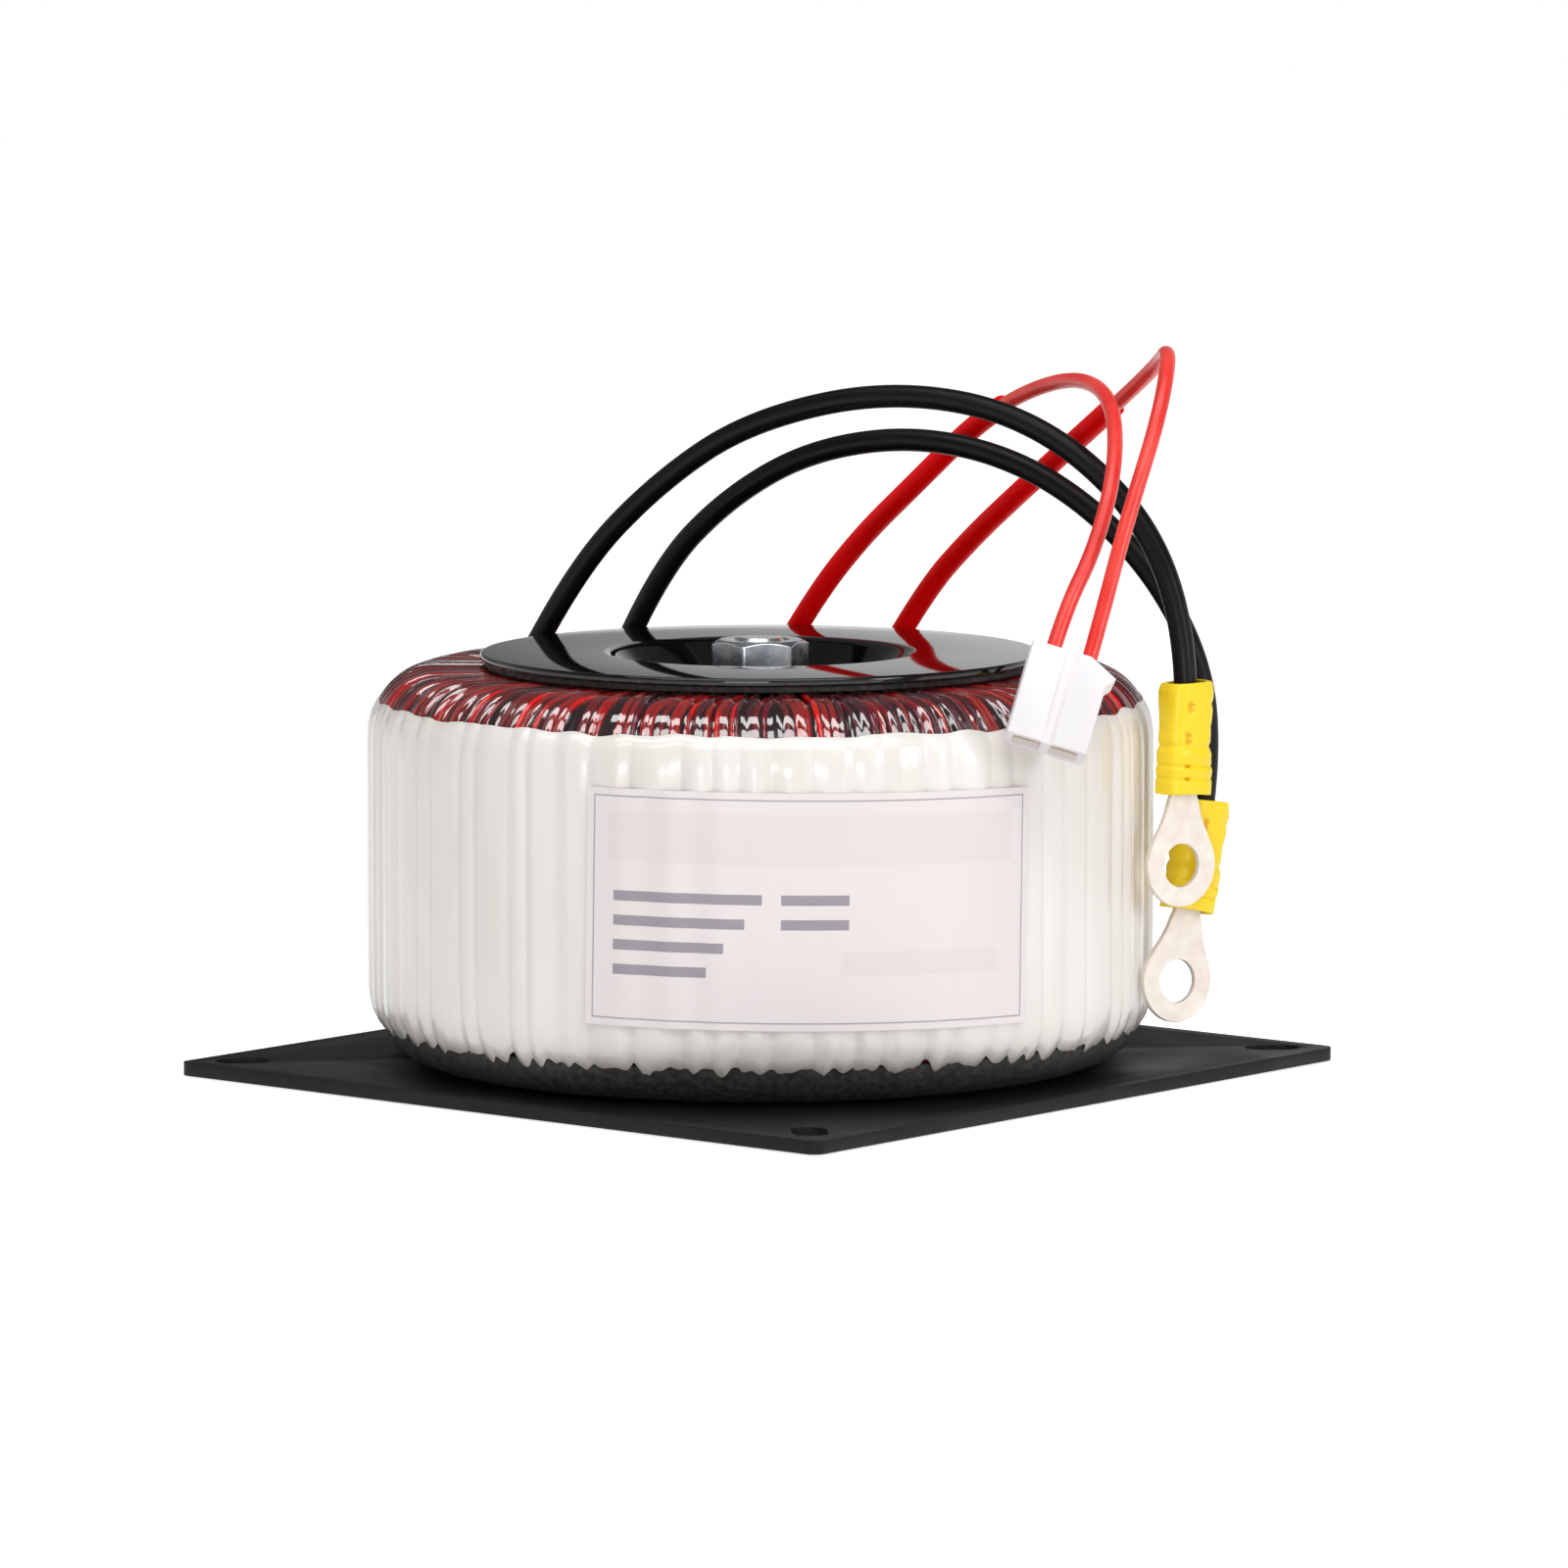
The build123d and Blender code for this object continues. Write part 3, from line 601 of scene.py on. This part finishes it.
# Points (r, z) and outward normals round the coil's section, inset from its outline.
def sectionPath(inset, arcSteps=9, sideSteps=4, faceSteps=10):
    corner = coil["corner"] - inset
    inner, outer = coil["inner"] + inset, coil["outer"] - inset
    bottom, top = coil["bottom"] + inset, coil["top"] - inset
    low, high = bottom + corner, top - corner
    near, far = inner + corner, outer - corner
    points, normals = [], []

    def straight(start, end, normal, steps):
        for step in range(steps):
            t = step / steps
            points.append((start[0] + (end[0] - start[0]) * t, start[1] + (end[1] - start[1]) * t))
            normals.append(normal)

    def bend(r, z, start):
        for step in range(arcSteps):
            angle = math.radians(start + 90 * step / arcSteps)
            points.append((r + corner * math.cos(angle), z + corner * math.sin(angle)))
            normals.append((math.cos(angle), math.sin(angle)))

    straight((outer, low), (outer, high), (1, 0), sideSteps)
    bend(far, high, 0)
    straight((far, top), (near, top), (0, 1), faceSteps)
    bend(near, high, 90)
    straight((inner, high), (inner, low), (-1, 0), sideSteps)
    bend(near, low, 180)
    straight((near, bottom), (far, bottom), (0, -1), faceSteps)
    bend(far, low, 270)
    return np.array(points), np.array(normals)


# The turns, in mm. fanEnd and fanStart are the radii between which they part from their stack in the
# hole; wander, lift and lean are how far a wire leaves its place; shades number the three reds.
winding = {
    "depth": 0.3, "wire": 0.52, "sides": 6, "pitch": 1.09, "pitchSpread": (0.92, 1.1), "turnSpread": 0.1,
    "holeStack": 1.05, "holeStagger": 0.45, "fanStart": 42.0, "fanEnd": 24.0,
    "wander": 0.45, "wanderAll": 0.4, "lift": 0.3, "liftSpread": (-1, 0.6),
    "lean": 1.6, "leanMiddle": 49.0, "leanReach": 7.0,
    "strands": (3, 4, 4, 4), "shades": (0, 0, 1, 1, 2), "shadeKept": 0.4, "seed": 41,
}


# Every turn is a few parallel wires; towards the hole they stack into the depth.
def makeWires():
    w = winding
    chance = np.random.default_rng(w["seed"])
    path, normal = sectionPath(w["depth"] + w["wire"])
    radius, facing = path[:, 0], normal[:, 1]
    fan = np.clip((radius - w["fanEnd"]) / (w["fanStart"] - w["fanEnd"]), 0, 1)
    fan = fan * fan * (3 - 2 * fan)
    spin = fullTurn(w["sides"])
    still = np.zeros(len(path))
    wires, shades = [], []
    for turn in range(coil["turns"]):
        middle = 2 * np.pi * (turn + chance.uniform(-w["turnSpread"], w["turnSpread"])) / coil["turns"]
        strands = int(chance.choice(w["strands"]))
        pitch = w["pitch"] * chance.uniform(*w["pitchSpread"])
        shade = chance.choice(w["shades"])
        lean = w["lean"] * chance.uniform(-1, 1) * (radius - w["leanMiddle"]) / w["leanReach"]
        lean = lean * fan * np.clip(facing, 0, 1)
        for strand in range(strands):
            offset = (strand - (strands - 1) / 2) * pitch
            wander = chance.uniform(-1, 1) * facing * fan + chance.uniform(-w["wanderAll"], w["wanderAll"])
            lift = w["lift"] * chance.uniform(*w["liftSpread"]) * fan * np.abs(facing)
            depth = w["holeStack"] * strand * (1 - fan) - lift
            stagger = w["holeStagger"] * (1 - fan) * (strand % 2 - 0.5)
            side = offset * fan + w["wander"] * wander + lean + stagger
            r = radius - normal[:, 0] * depth
            z = path[:, 1] - facing * depth
            angle = middle + side / r
            centre = roundAxis(r, angle, z)
            outward = roundAxis(normal[:, 0], angle, facing)
            across = roundAxis(1.0, angle + np.pi / 2, still)
            ring = np.cos(spin)[:, None] * outward[:, None] + np.sin(spin)[:, None] * across[:, None]
            wires.append(centre[:, None] + w["wire"] * ring)
            look = shade if chance.uniform() < w["shadeKept"] else int(chance.choice([0, 1, 2]))
            shades.append(np.full(len(path) * w["sides"], look))
    one = latticeFaces(len(path), w["sides"], True, True)
    faces = np.concatenate([one + index * len(path) * w["sides"] for index in range(len(wires))])
    print("wires", len(wires), "faces", len(faces))
    looks = (["wireDeep", "wireDark"], np.concatenate(shades))
    return meshObject("secondaryWires", np.concatenate(wires), faces, "wireRed",
                      ("secondary_winding",), looks)


pleat = {"drift": 0.16, "driftWave": (3, 40, 10), "seed": 12}  # the film and the band share a seed


# Height 0 to 1 of uneven pleats, one for each turn of the winding.
def pleats(angle, seed, sharp):
    turn = angle * coil["turns"] / (2 * np.pi) + pleat["drift"] * wave(angle, seed, *pleat["driftWave"])
    return np.abs(np.cos(np.pi * turn)) ** sharp


# Depths in mm; the slant, in radians, is how far the creases turn on their way round the section.
# The film sags most where it faces up: by slope and offset from its normal, within exposed.
film = {
    "around": 1360, "sag": 0.75, "sharp": 0.9, "drop": (-0.05, 1.1), "slant": 0.06, "fineSlant": 0.3,
    "slope": 1.4, "offset": 0.3, "exposed": (0.15, 1),
    "fine": 0.17, "fineWave": (31, 110, 240, 8),
    "crease": 0.18, "creaseWave": (77, 60, 140, 8), "creaseMost": 3,
}


# Clear film drawn over the winding: it stands on the turns and sags between them.
def makeFilm():
    f = film
    path, normal = sectionPath(0.0, arcSteps=12, sideSteps=2, faceSteps=4)
    angle = fullTurn(f["around"])[:, None]
    slant = f["slant"] * np.linspace(0, 1, len(path))[None, :]
    exposed = np.clip(normal[None, :, 1] * f["slope"] + f["offset"], *f["exposed"])
    fine = wave(angle + slant * f["fineSlant"], *f["fineWave"])
    crease = np.clip(wave(angle + slant, *f["creaseWave"]), 0, f["creaseMost"]) ** 2
    sag = f["sag"] * (1 - pleats(angle, pleat["seed"], f["sharp"]))
    drop = np.clip(exposed * (sag + f["fine"] * fine - f["crease"] * crease), *f["drop"])
    points = roundAxis(path[:, 0] - normal[:, 0] * drop, angle, path[:, 1] - normal[:, 1] * drop)
    faces = latticeFaces(f["around"], len(path), True, True)
    print("film faces", len(faces))
    return meshObject("filmWrap", points, faces, "film", ("film_wrap",))


# The band, in mm: crest and valley are its pleats' heights over the coil's outline. Its edges leave low
# and high by scallops over the pleats and by a ragged wave. cross are finer pleats of their own.
band = {
    "around": 1224, "rows": 26, "low": 8.2, "high": 56.6, "crest": 0.95, "valley": 0.3, "thickness": 0.12,
    "lowScallop": 0.9, "lowSharp": 0.8, "lowRagged": 0.35, "lowWave": (5, 20, 150, 10),
    "highScallop": 0.1, "highSharp": 1.0, "highRagged": 0.16, "highWave": (8, 3, 60, 10),
    "sharp": 1.1, "sway": 0.004, "swayWave": (21, 5, 40, 8), "edgePleats": 0.8, "nearest": 0.12,
    "crossSeed": 40, "crossSharp": 1.5, "crossSway": 0.012, "crossWave": (17, 4, 30, 6), "crossFrom": 0.02,
    "crossDeep": 0.1, "crossLess": 0.4, "fine": 0.03, "fineSlant": 0.01, "fineWave": (63, 90, 180, 8),
    "tight": 0.1, "tightTop": 0.11, "tightPleats": 0.15, "innerStep": 5,
}


# Radius of the coil's outer side at a height, where its outline is lifted outwards.
def outerSide(height, lift):
    corner = coil["corner"] + lift
    low, high = coil["bottom"] - lift + corner, coil["top"] + lift - corner
    depth = np.clip(np.maximum(low - height, height - high), 0, corner * 0.999)
    return coil["outer"] + lift - corner + np.sqrt(corner ** 2 - depth ** 2)


# How far the band stands off the coil: t runs from its foot, 0, to its top, 1.
def bandLift(angle, t):
    b = band
    sway = b["sway"] * wave(angle, *b["swayWave"]) * np.sin(np.pi * t)
    fold = pleats(angle + sway, pleat["seed"], b["sharp"])
    crossSway = b["crossSway"] * wave(angle, *b["crossWave"])
    cross = pleats(angle + crossSway + b["crossFrom"], b["crossSeed"], b["crossSharp"])
    middle = np.sin(np.pi * t) ** 0.4
    full = b["edgePleats"] + (1 - b["edgePleats"]) * middle
    lift = b["valley"] + (b["crest"] - b["valley"]) * fold * full
    lift = lift - b["crossDeep"] * cross * (1 - middle * b["crossLess"])
    lift = lift + b["fine"] * wave(angle + b["fineSlant"] * t, *b["fineWave"])
    lift = np.clip(lift, b["nearest"], b["crest"] + b["nearest"])
    loose = np.clip((1 - t) / b["tightTop"], 0, 1) ** 0.7
    return b["tight"] + (lift - b["tight"]) * (b["tightPleats"] + (1 - b["tightPleats"]) * loose)


# The milky band round the side, in uneven pleats, scalloped along its lower edge.
def makeBand():
    b = band
    angle = fullTurn(b["around"])[:, None]
    t = np.linspace(0, 1, b["rows"])[None, :]
    low = b["low"] - b["lowScallop"] * pleats(angle, pleat["seed"], b["lowSharp"])
    low = low + b["lowRagged"] * wave(angle, *b["lowWave"])
    high = b["high"] + b["highScallop"] * pleats(angle, pleat["seed"], b["highSharp"])
    high = high + b["highRagged"] * wave(angle, *b["highWave"])
    height = low + (high - low) * t
    outer = outerSide(height, bandLift(angle, t))
    inner = outer - b["thickness"]
    back = slice(None, None, -b["innerStep"])
    radius = np.concatenate([outer, inner[:, back], inner[:, :1]], 1)
    height = np.concatenate([height, height[:, back], height[:, :1]], 1)
    faces = latticeFaces(b["around"], radius.shape[1], True, True)
    print("band faces", len(faces))
    points = roundAxis(radius, angle, height)
    return meshObject("sideBand", points, faces, "band", ("side_band",))


makeWires()
makeFilm()
makeBand()
print("coil made")


# The label, in mm and degrees; inset and line are those of its border.
label = {
    "radius": 59.72, "middle": 31.2, "turn": -87.3, "tilt": 0.9, "wide": 68.6, "high": 34.8, "thick": 0.12,
    "inset": 1.0, "line": 0.22, "ripple": 0.05, "rippleWave": (90, 30, 70, 6), "columns": 160, "rows": 24,
    "buckle": 0.02, "buckleUp": 0.4, "buckleAlong": 0.2,
    "inkLift": 0.02, "inkColumn": 0.6, "inkRow": 1.5,
}
# Plain bars and fields in place of the print: left, bottom, width and height in mm from the label's
# lower left corner, and 1 for a bar or 2 for a pale field.
bars = [
    (3.4, 24.2, 62.0, 7.4, 2), (4.3, 18.4, 22.0, 1.5, 1), (29.1, 18.4, 10.0, 1.5, 1),
    (4.3, 14.8, 19.5, 1.5, 1), (29.1, 14.8, 10.0, 1.5, 1), (4.3, 11.2, 16.5, 1.5, 1),
    (4.3, 7.6, 14.0, 1.5, 1), (38.0, 8.0, 25.0, 3.6, 2),
]


# Points of a patch of the label's surface, lifted from the band.
def labelPatch(left, bottom, wide, high, lift, columns, rows):
    u = np.linspace(left, left + wide, columns)[:, None] - label["wide"] / 2
    v = np.linspace(bottom, bottom + high, rows)[None, :] - label["high"] / 2
    tilt = math.radians(label["tilt"])
    along = u * math.cos(tilt) + v * math.sin(tilt)
    height = -u * math.sin(tilt) + v * math.cos(tilt)
    angle = math.radians(label["turn"]) + along / label["radius"]
    ripple = label["ripple"] * wave(angle, *label["rippleWave"])
    ripple = ripple + label["buckle"] * np.sin(height * label["buckleUp"] + along * label["buckleAlong"])
    return roundAxis(label["radius"] + ripple + lift, angle, label["middle"] + height)


# The paper: a front and a back sheet, joined round the edge.
def makeLabel():
    columns, rows = label["columns"], label["rows"]
    front = labelPatch(0, 0, label["wide"], label["high"], label["thick"], columns, rows)
    back = labelPatch(0, 0, label["wide"], label["high"], 0.0, columns, rows)
    size = columns * rows
    sheet = latticeFaces(columns, rows, False, False)
    corner = np.arange(size).reshape(columns, rows)
    edge = np.concatenate([corner[:, 0], corner[-1, 1:], corner[-2::-1, -1], corner[0, -2:0:-1]])
    after = np.roll(edge, -1)
    rim = np.stack([after, edge, edge + size, after + size], -1)
    faces = np.concatenate([sheet, sheet[:, ::-1] + size, rim])
    points = np.concatenate([front.reshape(-1, 3), back.reshape(-1, 3)])
    return sharpen(meshObject("label", points, faces, "paper", ("label",)), 60)


# The border line, the plain bars and the fields, as thin patches on the label.
def makePrint():
    inset, line, wide, high = label["inset"], label["line"], label["wide"], label["high"]
    across, up = wide - 2 * inset, high - 2 * inset - 2 * line
    border = [
        (inset, inset, across, line, 0), (inset, high - inset - line, across, line, 0),
        (inset, inset + line, line, up, 0), (wide - inset - line, inset + line, line, up, 0),
    ]
    points, faces, looks, base = [], [], [], 0
    for left, bottom, across, up, look in border + bars:
        columns = max(2, int(across / label["inkColumn"]) + 2)
        rows = max(2, int(up / label["inkRow"]) + 2)
        patch = labelPatch(left, bottom, across, up, label["thick"] + label["inkLift"], columns, rows)
        some = latticeFaces(columns, rows, False, False)
        points.append(patch.reshape(-1, 3))
        faces.append(some + base)
        looks += [look] * len(some)
        base += columns * rows
    points, faces = np.concatenate(points), np.concatenate(faces)
    return meshObject("labelPrint", points, faces, "ink", (), (["bar", "field"], looks))


makeLabel()
makePrint()
print("label made")


# The dished washer: heights and radii in mm.
dish = {
    "top": 63.6, "thick": 1.2, "deep": 8.3, "rim": 42.4, "mouth": 22.8, "floor": 14.0, "hole": 4.2,
    "around": 240, "steps": 8,
}


def makeDish():
    d = dish
    slope = math.atan2(d["deep"], d["mouth"] - d["floor"])
    shift = d["thick"] * math.tan(slope / 2)
    under = d["top"] - d["thick"]
    corners = [
        (d["hole"], d["top"] - d["deep"], 0.15), (d["floor"], d["top"] - d["deep"], 1.5),
        (d["mouth"], d["top"], 3.0), (d["rim"], d["top"], 0.5), (d["rim"], under, 0.25),
        (d["mouth"] + shift, under, 1.8), (d["floor"] + shift, under - d["deep"], 2.7),
        (d["hole"], under - d["deep"], 0.15),
    ]
    points, faces = turnedShape(corners, d["around"], d["steps"])
    return sharpen(meshObject("dishedWasher", points, faces, "dish", ("dished_washer",)), 35)


# The rubber pads, in mm. The lower one's lip is an arc of lipEnd degrees from its lowest point, drawn in
# a little after lipFrom steps, and its inside is a smaller arc whose centre is innerUp higher.
pads = {
    "inner": 27.6, "outer": 41.6, "bottom": 61.42, "top": 62.38, "around": 200,
    "hole": 20.0, "floor": 2.02, "seat": 4.0, "lipMiddle": (49.4, 11.0), "lipRadius": 9.0, "lipEnd": 69,
    "lipSteps": 8, "lipFrom": 5, "lipDrawn": 0.12, "innerUp": 0.05, "innerRadius": 7.0, "innerSteps": 5,
    "lowerAround": 240, "ruffle": 0.002, "ruffleWave": (6, 8, 60, 8),
}


# A pad turned from its corners, with a slightly uneven rim.
def makePad(name, node, corners, around):
    points, faces = turnedShape(corners, around, 3)
    scale = 1 + pads["ruffle"] * wave(np.arctan2(points[..., 1], points[..., 0]), *pads["ruffleWave"])
    points = points * np.stack([scale, scale, np.ones_like(scale)], -1)
    return sharpen(meshObject(name, points, faces, "rubber", (node,)), 35)


def makePads():
    p = pads
    upper = [
        (p["inner"], p["bottom"], 0.1), (p["inner"], p["top"], 0.1),
        (p["outer"], p["top"], 0.2), (p["outer"], p["bottom"], 0.2),
    ]
    makePad("upperPad", "upper_pad", upper, p["around"])
    r, z = p["lipMiddle"]
    lower = [(p["hole"], p["seat"], 0.2), (p["hole"], p["floor"], 0.2)]
    for step in range(p["lipSteps"] + 1):
        angle = math.radians(p["lipEnd"] * step / p["lipSteps"] - 90)
        reach = p["lipRadius"] - p["lipDrawn"] * max(0, step - p["lipFrom"])
        lower.append((r + reach * math.cos(angle), z + reach * math.sin(angle), 0))
    for step in range(p["innerSteps"] + 1):
        angle = math.radians(p["lipEnd"] * (1 - step / p["innerSteps"]) - 90)
        lower.append((r + p["innerRadius"] * math.cos(angle),
                      z + p["innerUp"] + p["innerRadius"] * math.sin(angle), 0))
    makePad("lowerPad", "lower_pad", lower, p["lowerAround"])


# The nut and the stud, in mm. foot holds the stud's radii and heights up to where its thread starts.
bolt = {
    "nutFlats": 13.0, "nutBottom": 58.9, "nutHigh": 6.5, "nutTurn": 3.7, "nutAround": 240,
    "nutBore": 3.55, "nutMouth": 4.3, "cornerWorn": 0.12, "faceShare": 0.95, "chamfer": 30,
    "nutEdge": 0.1, "nutSharp": 25,
    "thread": 4.0, "threadDeep": 0.6, "pitch": 1.25, "threadFrom": 50.0, "top": 65.7, "tip": 0.9,
    "studAround": 60, "studStep": 0.1,
    "foot": ((0.001, 0.0), (5.85, 0.0), (5.98, 0.1), (5.98, 1.15), (5.85, 1.3), (3.3, 1.3), (3.3, 50.0)),
}


# A chamfered hexagon whose flats end in arcs, with a countersunk hole.
def makeNut():
    b = bolt
    angle = fullTurn(b["nutAround"])
    fold = (angle - math.radians(b["nutTurn"]) + np.pi / 6) % (np.pi / 3) - np.pi / 6
    corner = b["nutFlats"] / math.sqrt(3) - b["cornerWorn"]
    side = np.minimum(b["nutFlats"] / 2 / np.cos(np.pi / 6 - np.abs(fold)), corner)
    face = b["nutFlats"] / 2 * b["faceShare"]
    slant = (side - face) * math.tan(math.radians(b["chamfer"]))
    low, high = b["nutBottom"], b["nutBottom"] + b["nutHigh"]
    rings = [
        (b["nutBore"], low + 0.9), (b["nutMouth"], low + 0.03), (face, low), (side, low + slant),
        (side, high - slant), (face, high), (b["nutMouth"] + 0.05, high - 0.02), (b["nutBore"], high - 0.8),
    ]
    points = np.stack([roundAxis(r, angle, z) for r, z in rings], 1)
    faces = latticeFaces(b["nutAround"], len(rings), True, True)
    made = meshObject("hexNut", points, faces, "zinc", ("hex_nut",))
    edge = made.modifiers.new("edge", "BEVEL")
    edge.width = b["nutEdge"] * mm
    edge.segments = 2
    edge.limit_method = "ANGLE"
    edge.angle_limit = math.radians(b["nutSharp"])
    return sharpen(made, b["nutSharp"])


# The stud: a flat round head, a plain shank, and a thread that climbs round its upper end.
def makeStud():
    b = bolt
    angle = fullTurn(b["studAround"])
    rows = int((b["top"] - b["threadFrom"]) / b["studStep"]) + 1
    z = np.linspace(b["threadFrom"], b["top"], rows)[:, None]
    phase = (z / b["pitch"] - angle / (2 * np.pi)) % 1
    groove = np.clip(np.abs(phase * 2 - 1) * 1.2 - 0.1, 0, 1)
    r = b["thread"] - b["threadDeep"] * groove
    r = np.minimum(r, b["thread"] - np.clip(z - (b["top"] - b["tip"]), 0, 1))
    foot = np.stack([roundAxis(footR, angle, footZ) for footR, footZ in b["foot"]])
    cap = roundAxis(b["foot"][0][0], angle, b["top"])
    points = np.concatenate([foot, roundAxis(r, angle, z), cap[None]])
    faces = latticeFaces(len(points), b["studAround"], False, True)
    return sharpen(meshObject("centreStud", points, faces, "zinc", ("centre_stud",)), 40)


makeDish()
makePads()
makeNut()
makeStud()
refined("plainWasher", "plain_washer", "zinc", 0.15)
refined("springWasher", "spring_washer", "zinc", 0.15)
refined("basePlate", "base_plate", "plate", 0.25, 3)
dressed("toroidal_core", "core")
# the insulation takes the dark purple, partly painted shade between the strands
dressed("core_insulation", "under")
dressed("primary_winding", "copper")
dressed("winding_insulation", "under")
print("metal made")

# Places and sizes in metres, power in watts.
lamps = {
    "key": {"place": (-0.1, -0.62, 0.95), "size": (1.3, 0.3), "power": 4.5, "aim": (0, 0, 0.04)},
    "top": {"place": (-0.05, -0.12, 1.1), "size": (1.2, 0.3), "power": 4.6, "aim": (0, 0, 0.04)},
    "front": {"place": (-0.3, -1.6, 0.14), "size": (0.5, 0.2), "power": 4.0, "aim": (0, 0, 0.06)},
    "fill": {"place": (0.8, -0.7, 0.4), "size": (0.25, 0.5), "power": 2.8, "aim": (0, 0, 0.04)},
}
# light falls evenly on the object. The rest is what the camera sees past it, also in a shine and through
# film: white below, then horizon, back at the far left, ceiling overhead. A span is the part of a ray's
# direction over which one turns into the next.
room = {
    "light": 0.26, "horizon": 0.74, "ceiling": 0.14, "back": 0.2,
    "whiteSpan": (0.0, 0.06), "ceilingSpan": (0.25, 0.5), "backSpan": (0.7, 0.9), "sideSpan": (0.03, 0.14),
    "floor": (0.93, 0.93, 0.93), "floorRough": 0.9, "floorSize": 6.0, "floorDrop": 0.0003, "glow": 0.78,
}


def makeLamps():
    for name, lamp in lamps.items():
        light = bpy.data.lights.new(name, "AREA")
        light.shape = "RECTANGLE"
        light.size, light.size_y = lamp["size"]
        light.energy = lamp["power"]
        stand = bpy.data.objects.new(name, light)
        stand.location = lamp["place"]
        stand.rotation_euler = (Vector(lamp["aim"]) - stand.location).to_track_quat("-Z", "Y").to_euler()
        scene.collection.objects.link(stand)


# A value that runs from low to high, numbers or sockets, while another runs over a span.
def ramped(tree, value, span, low, high):
    node = tree.nodes.new("ShaderNodeMapRange")
    node.interpolation_type = "SMOOTHSTEP"
    node.inputs["From Min"].default_value, node.inputs["From Max"].default_value = span
    for name, number in (("To Min", low), ("To Max", high)):
        if isinstance(number, float):
            node.inputs[name].default_value = number
        else:
            tree.links.new(number, node.inputs[name])
    tree.links.new(value, node.inputs["Value"])
    return node.outputs["Result"]


# 1 for what the camera sees, also in a shine and through clear film, and 0 for light on the object.
def seenRays(tree):
    path = tree.nodes.new("ShaderNodeLightPath")
    seen = path.outputs["Is Camera Ray"]
    for other in ("Is Glossy Ray", "Is Transmission Ray"):
        larger = tree.nodes.new("ShaderNodeMath")
        larger.operation = "MAXIMUM"
        tree.links.new(seen, larger.inputs[0])
        tree.links.new(path.outputs[other], larger.inputs[1])
        seen = larger.outputs[0]
    return seen


# Even light on the object, and a white background that turns into a dim studio higher up.
def makeWorld():
    world = bpy.data.worlds.new("room")
    scene.world = world
    world.use_nodes = True
    tree = world.node_tree
    even = tree.nodes["Background"]
    even.inputs["Color"].default_value = (1, 1, 1, 1)
    even.inputs["Strength"].default_value = room["light"]
    place = tree.nodes.new("ShaderNodeTexCoord")
    split = tree.nodes.new("ShaderNodeSeparateXYZ")
    tree.links.new(place.outputs["Generated"], split.inputs[0])
    across, away, up = split.outputs
    behind = ramped(tree, across, room["sideSpan"], room["back"], room["horizon"])
    around = ramped(tree, away, room["backSpan"], room["horizon"], behind)
    studio = ramped(tree, up, room["ceilingSpan"], around, room["ceiling"])
    level = ramped(tree, up, room["whiteSpan"], 1.0, studio)
    background = tree.nodes.new("ShaderNodeBackground")
    background.inputs["Color"].default_value = (1, 1, 1, 1)
    tree.links.new(level, background.inputs["Strength"])
    mixed = tree.nodes.new("ShaderNodeMixShader")
    tree.links.new(seenRays(tree), mixed.inputs["Fac"])
    tree.links.new(even.outputs[0], mixed.inputs[1])
    tree.links.new(background.outputs[0], mixed.inputs[2])
    tree.links.new(mixed.outputs[0], tree.nodes["World Output"].inputs["Surface"])


# A pale floor that the camera sees as white; the object's shadow still shows on it.
def makeFloor():
    half = room["floorSize"] / 2
    mesh = bpy.data.meshes.new("floor")
    corners = [(-half, -half, 0), (half, -half, 0), (half, half, 0), (-half, half, 0)]
    mesh.from_pydata(corners, [], [(0, 1, 2, 3)])
    look = plain("floor", room["floor"], room["floorRough"], Specular_IOR_Level=0.0,
                 Emission_Color=(1, 1, 1, 1))
    tree = look.node_tree
    glow = tree.nodes.new("ShaderNodeMath")
    glow.operation = "MULTIPLY"
    glow.inputs[1].default_value = room["glow"]
    tree.links.new(seenRays(tree), glow.inputs[0])
    tree.links.new(glow.outputs[0], tree.nodes["Principled BSDF"].inputs["Emission Strength"])
    mesh.materials.append(look)
    floor = bpy.data.objects.new("floor", mesh)
    floor.location.z = -room["floorDrop"]
    scene.collection.objects.link(floor)


makeLamps()
makeWorld()
makeFloor()
scene.view_settings.view_transform = "Standard"
print("room made")
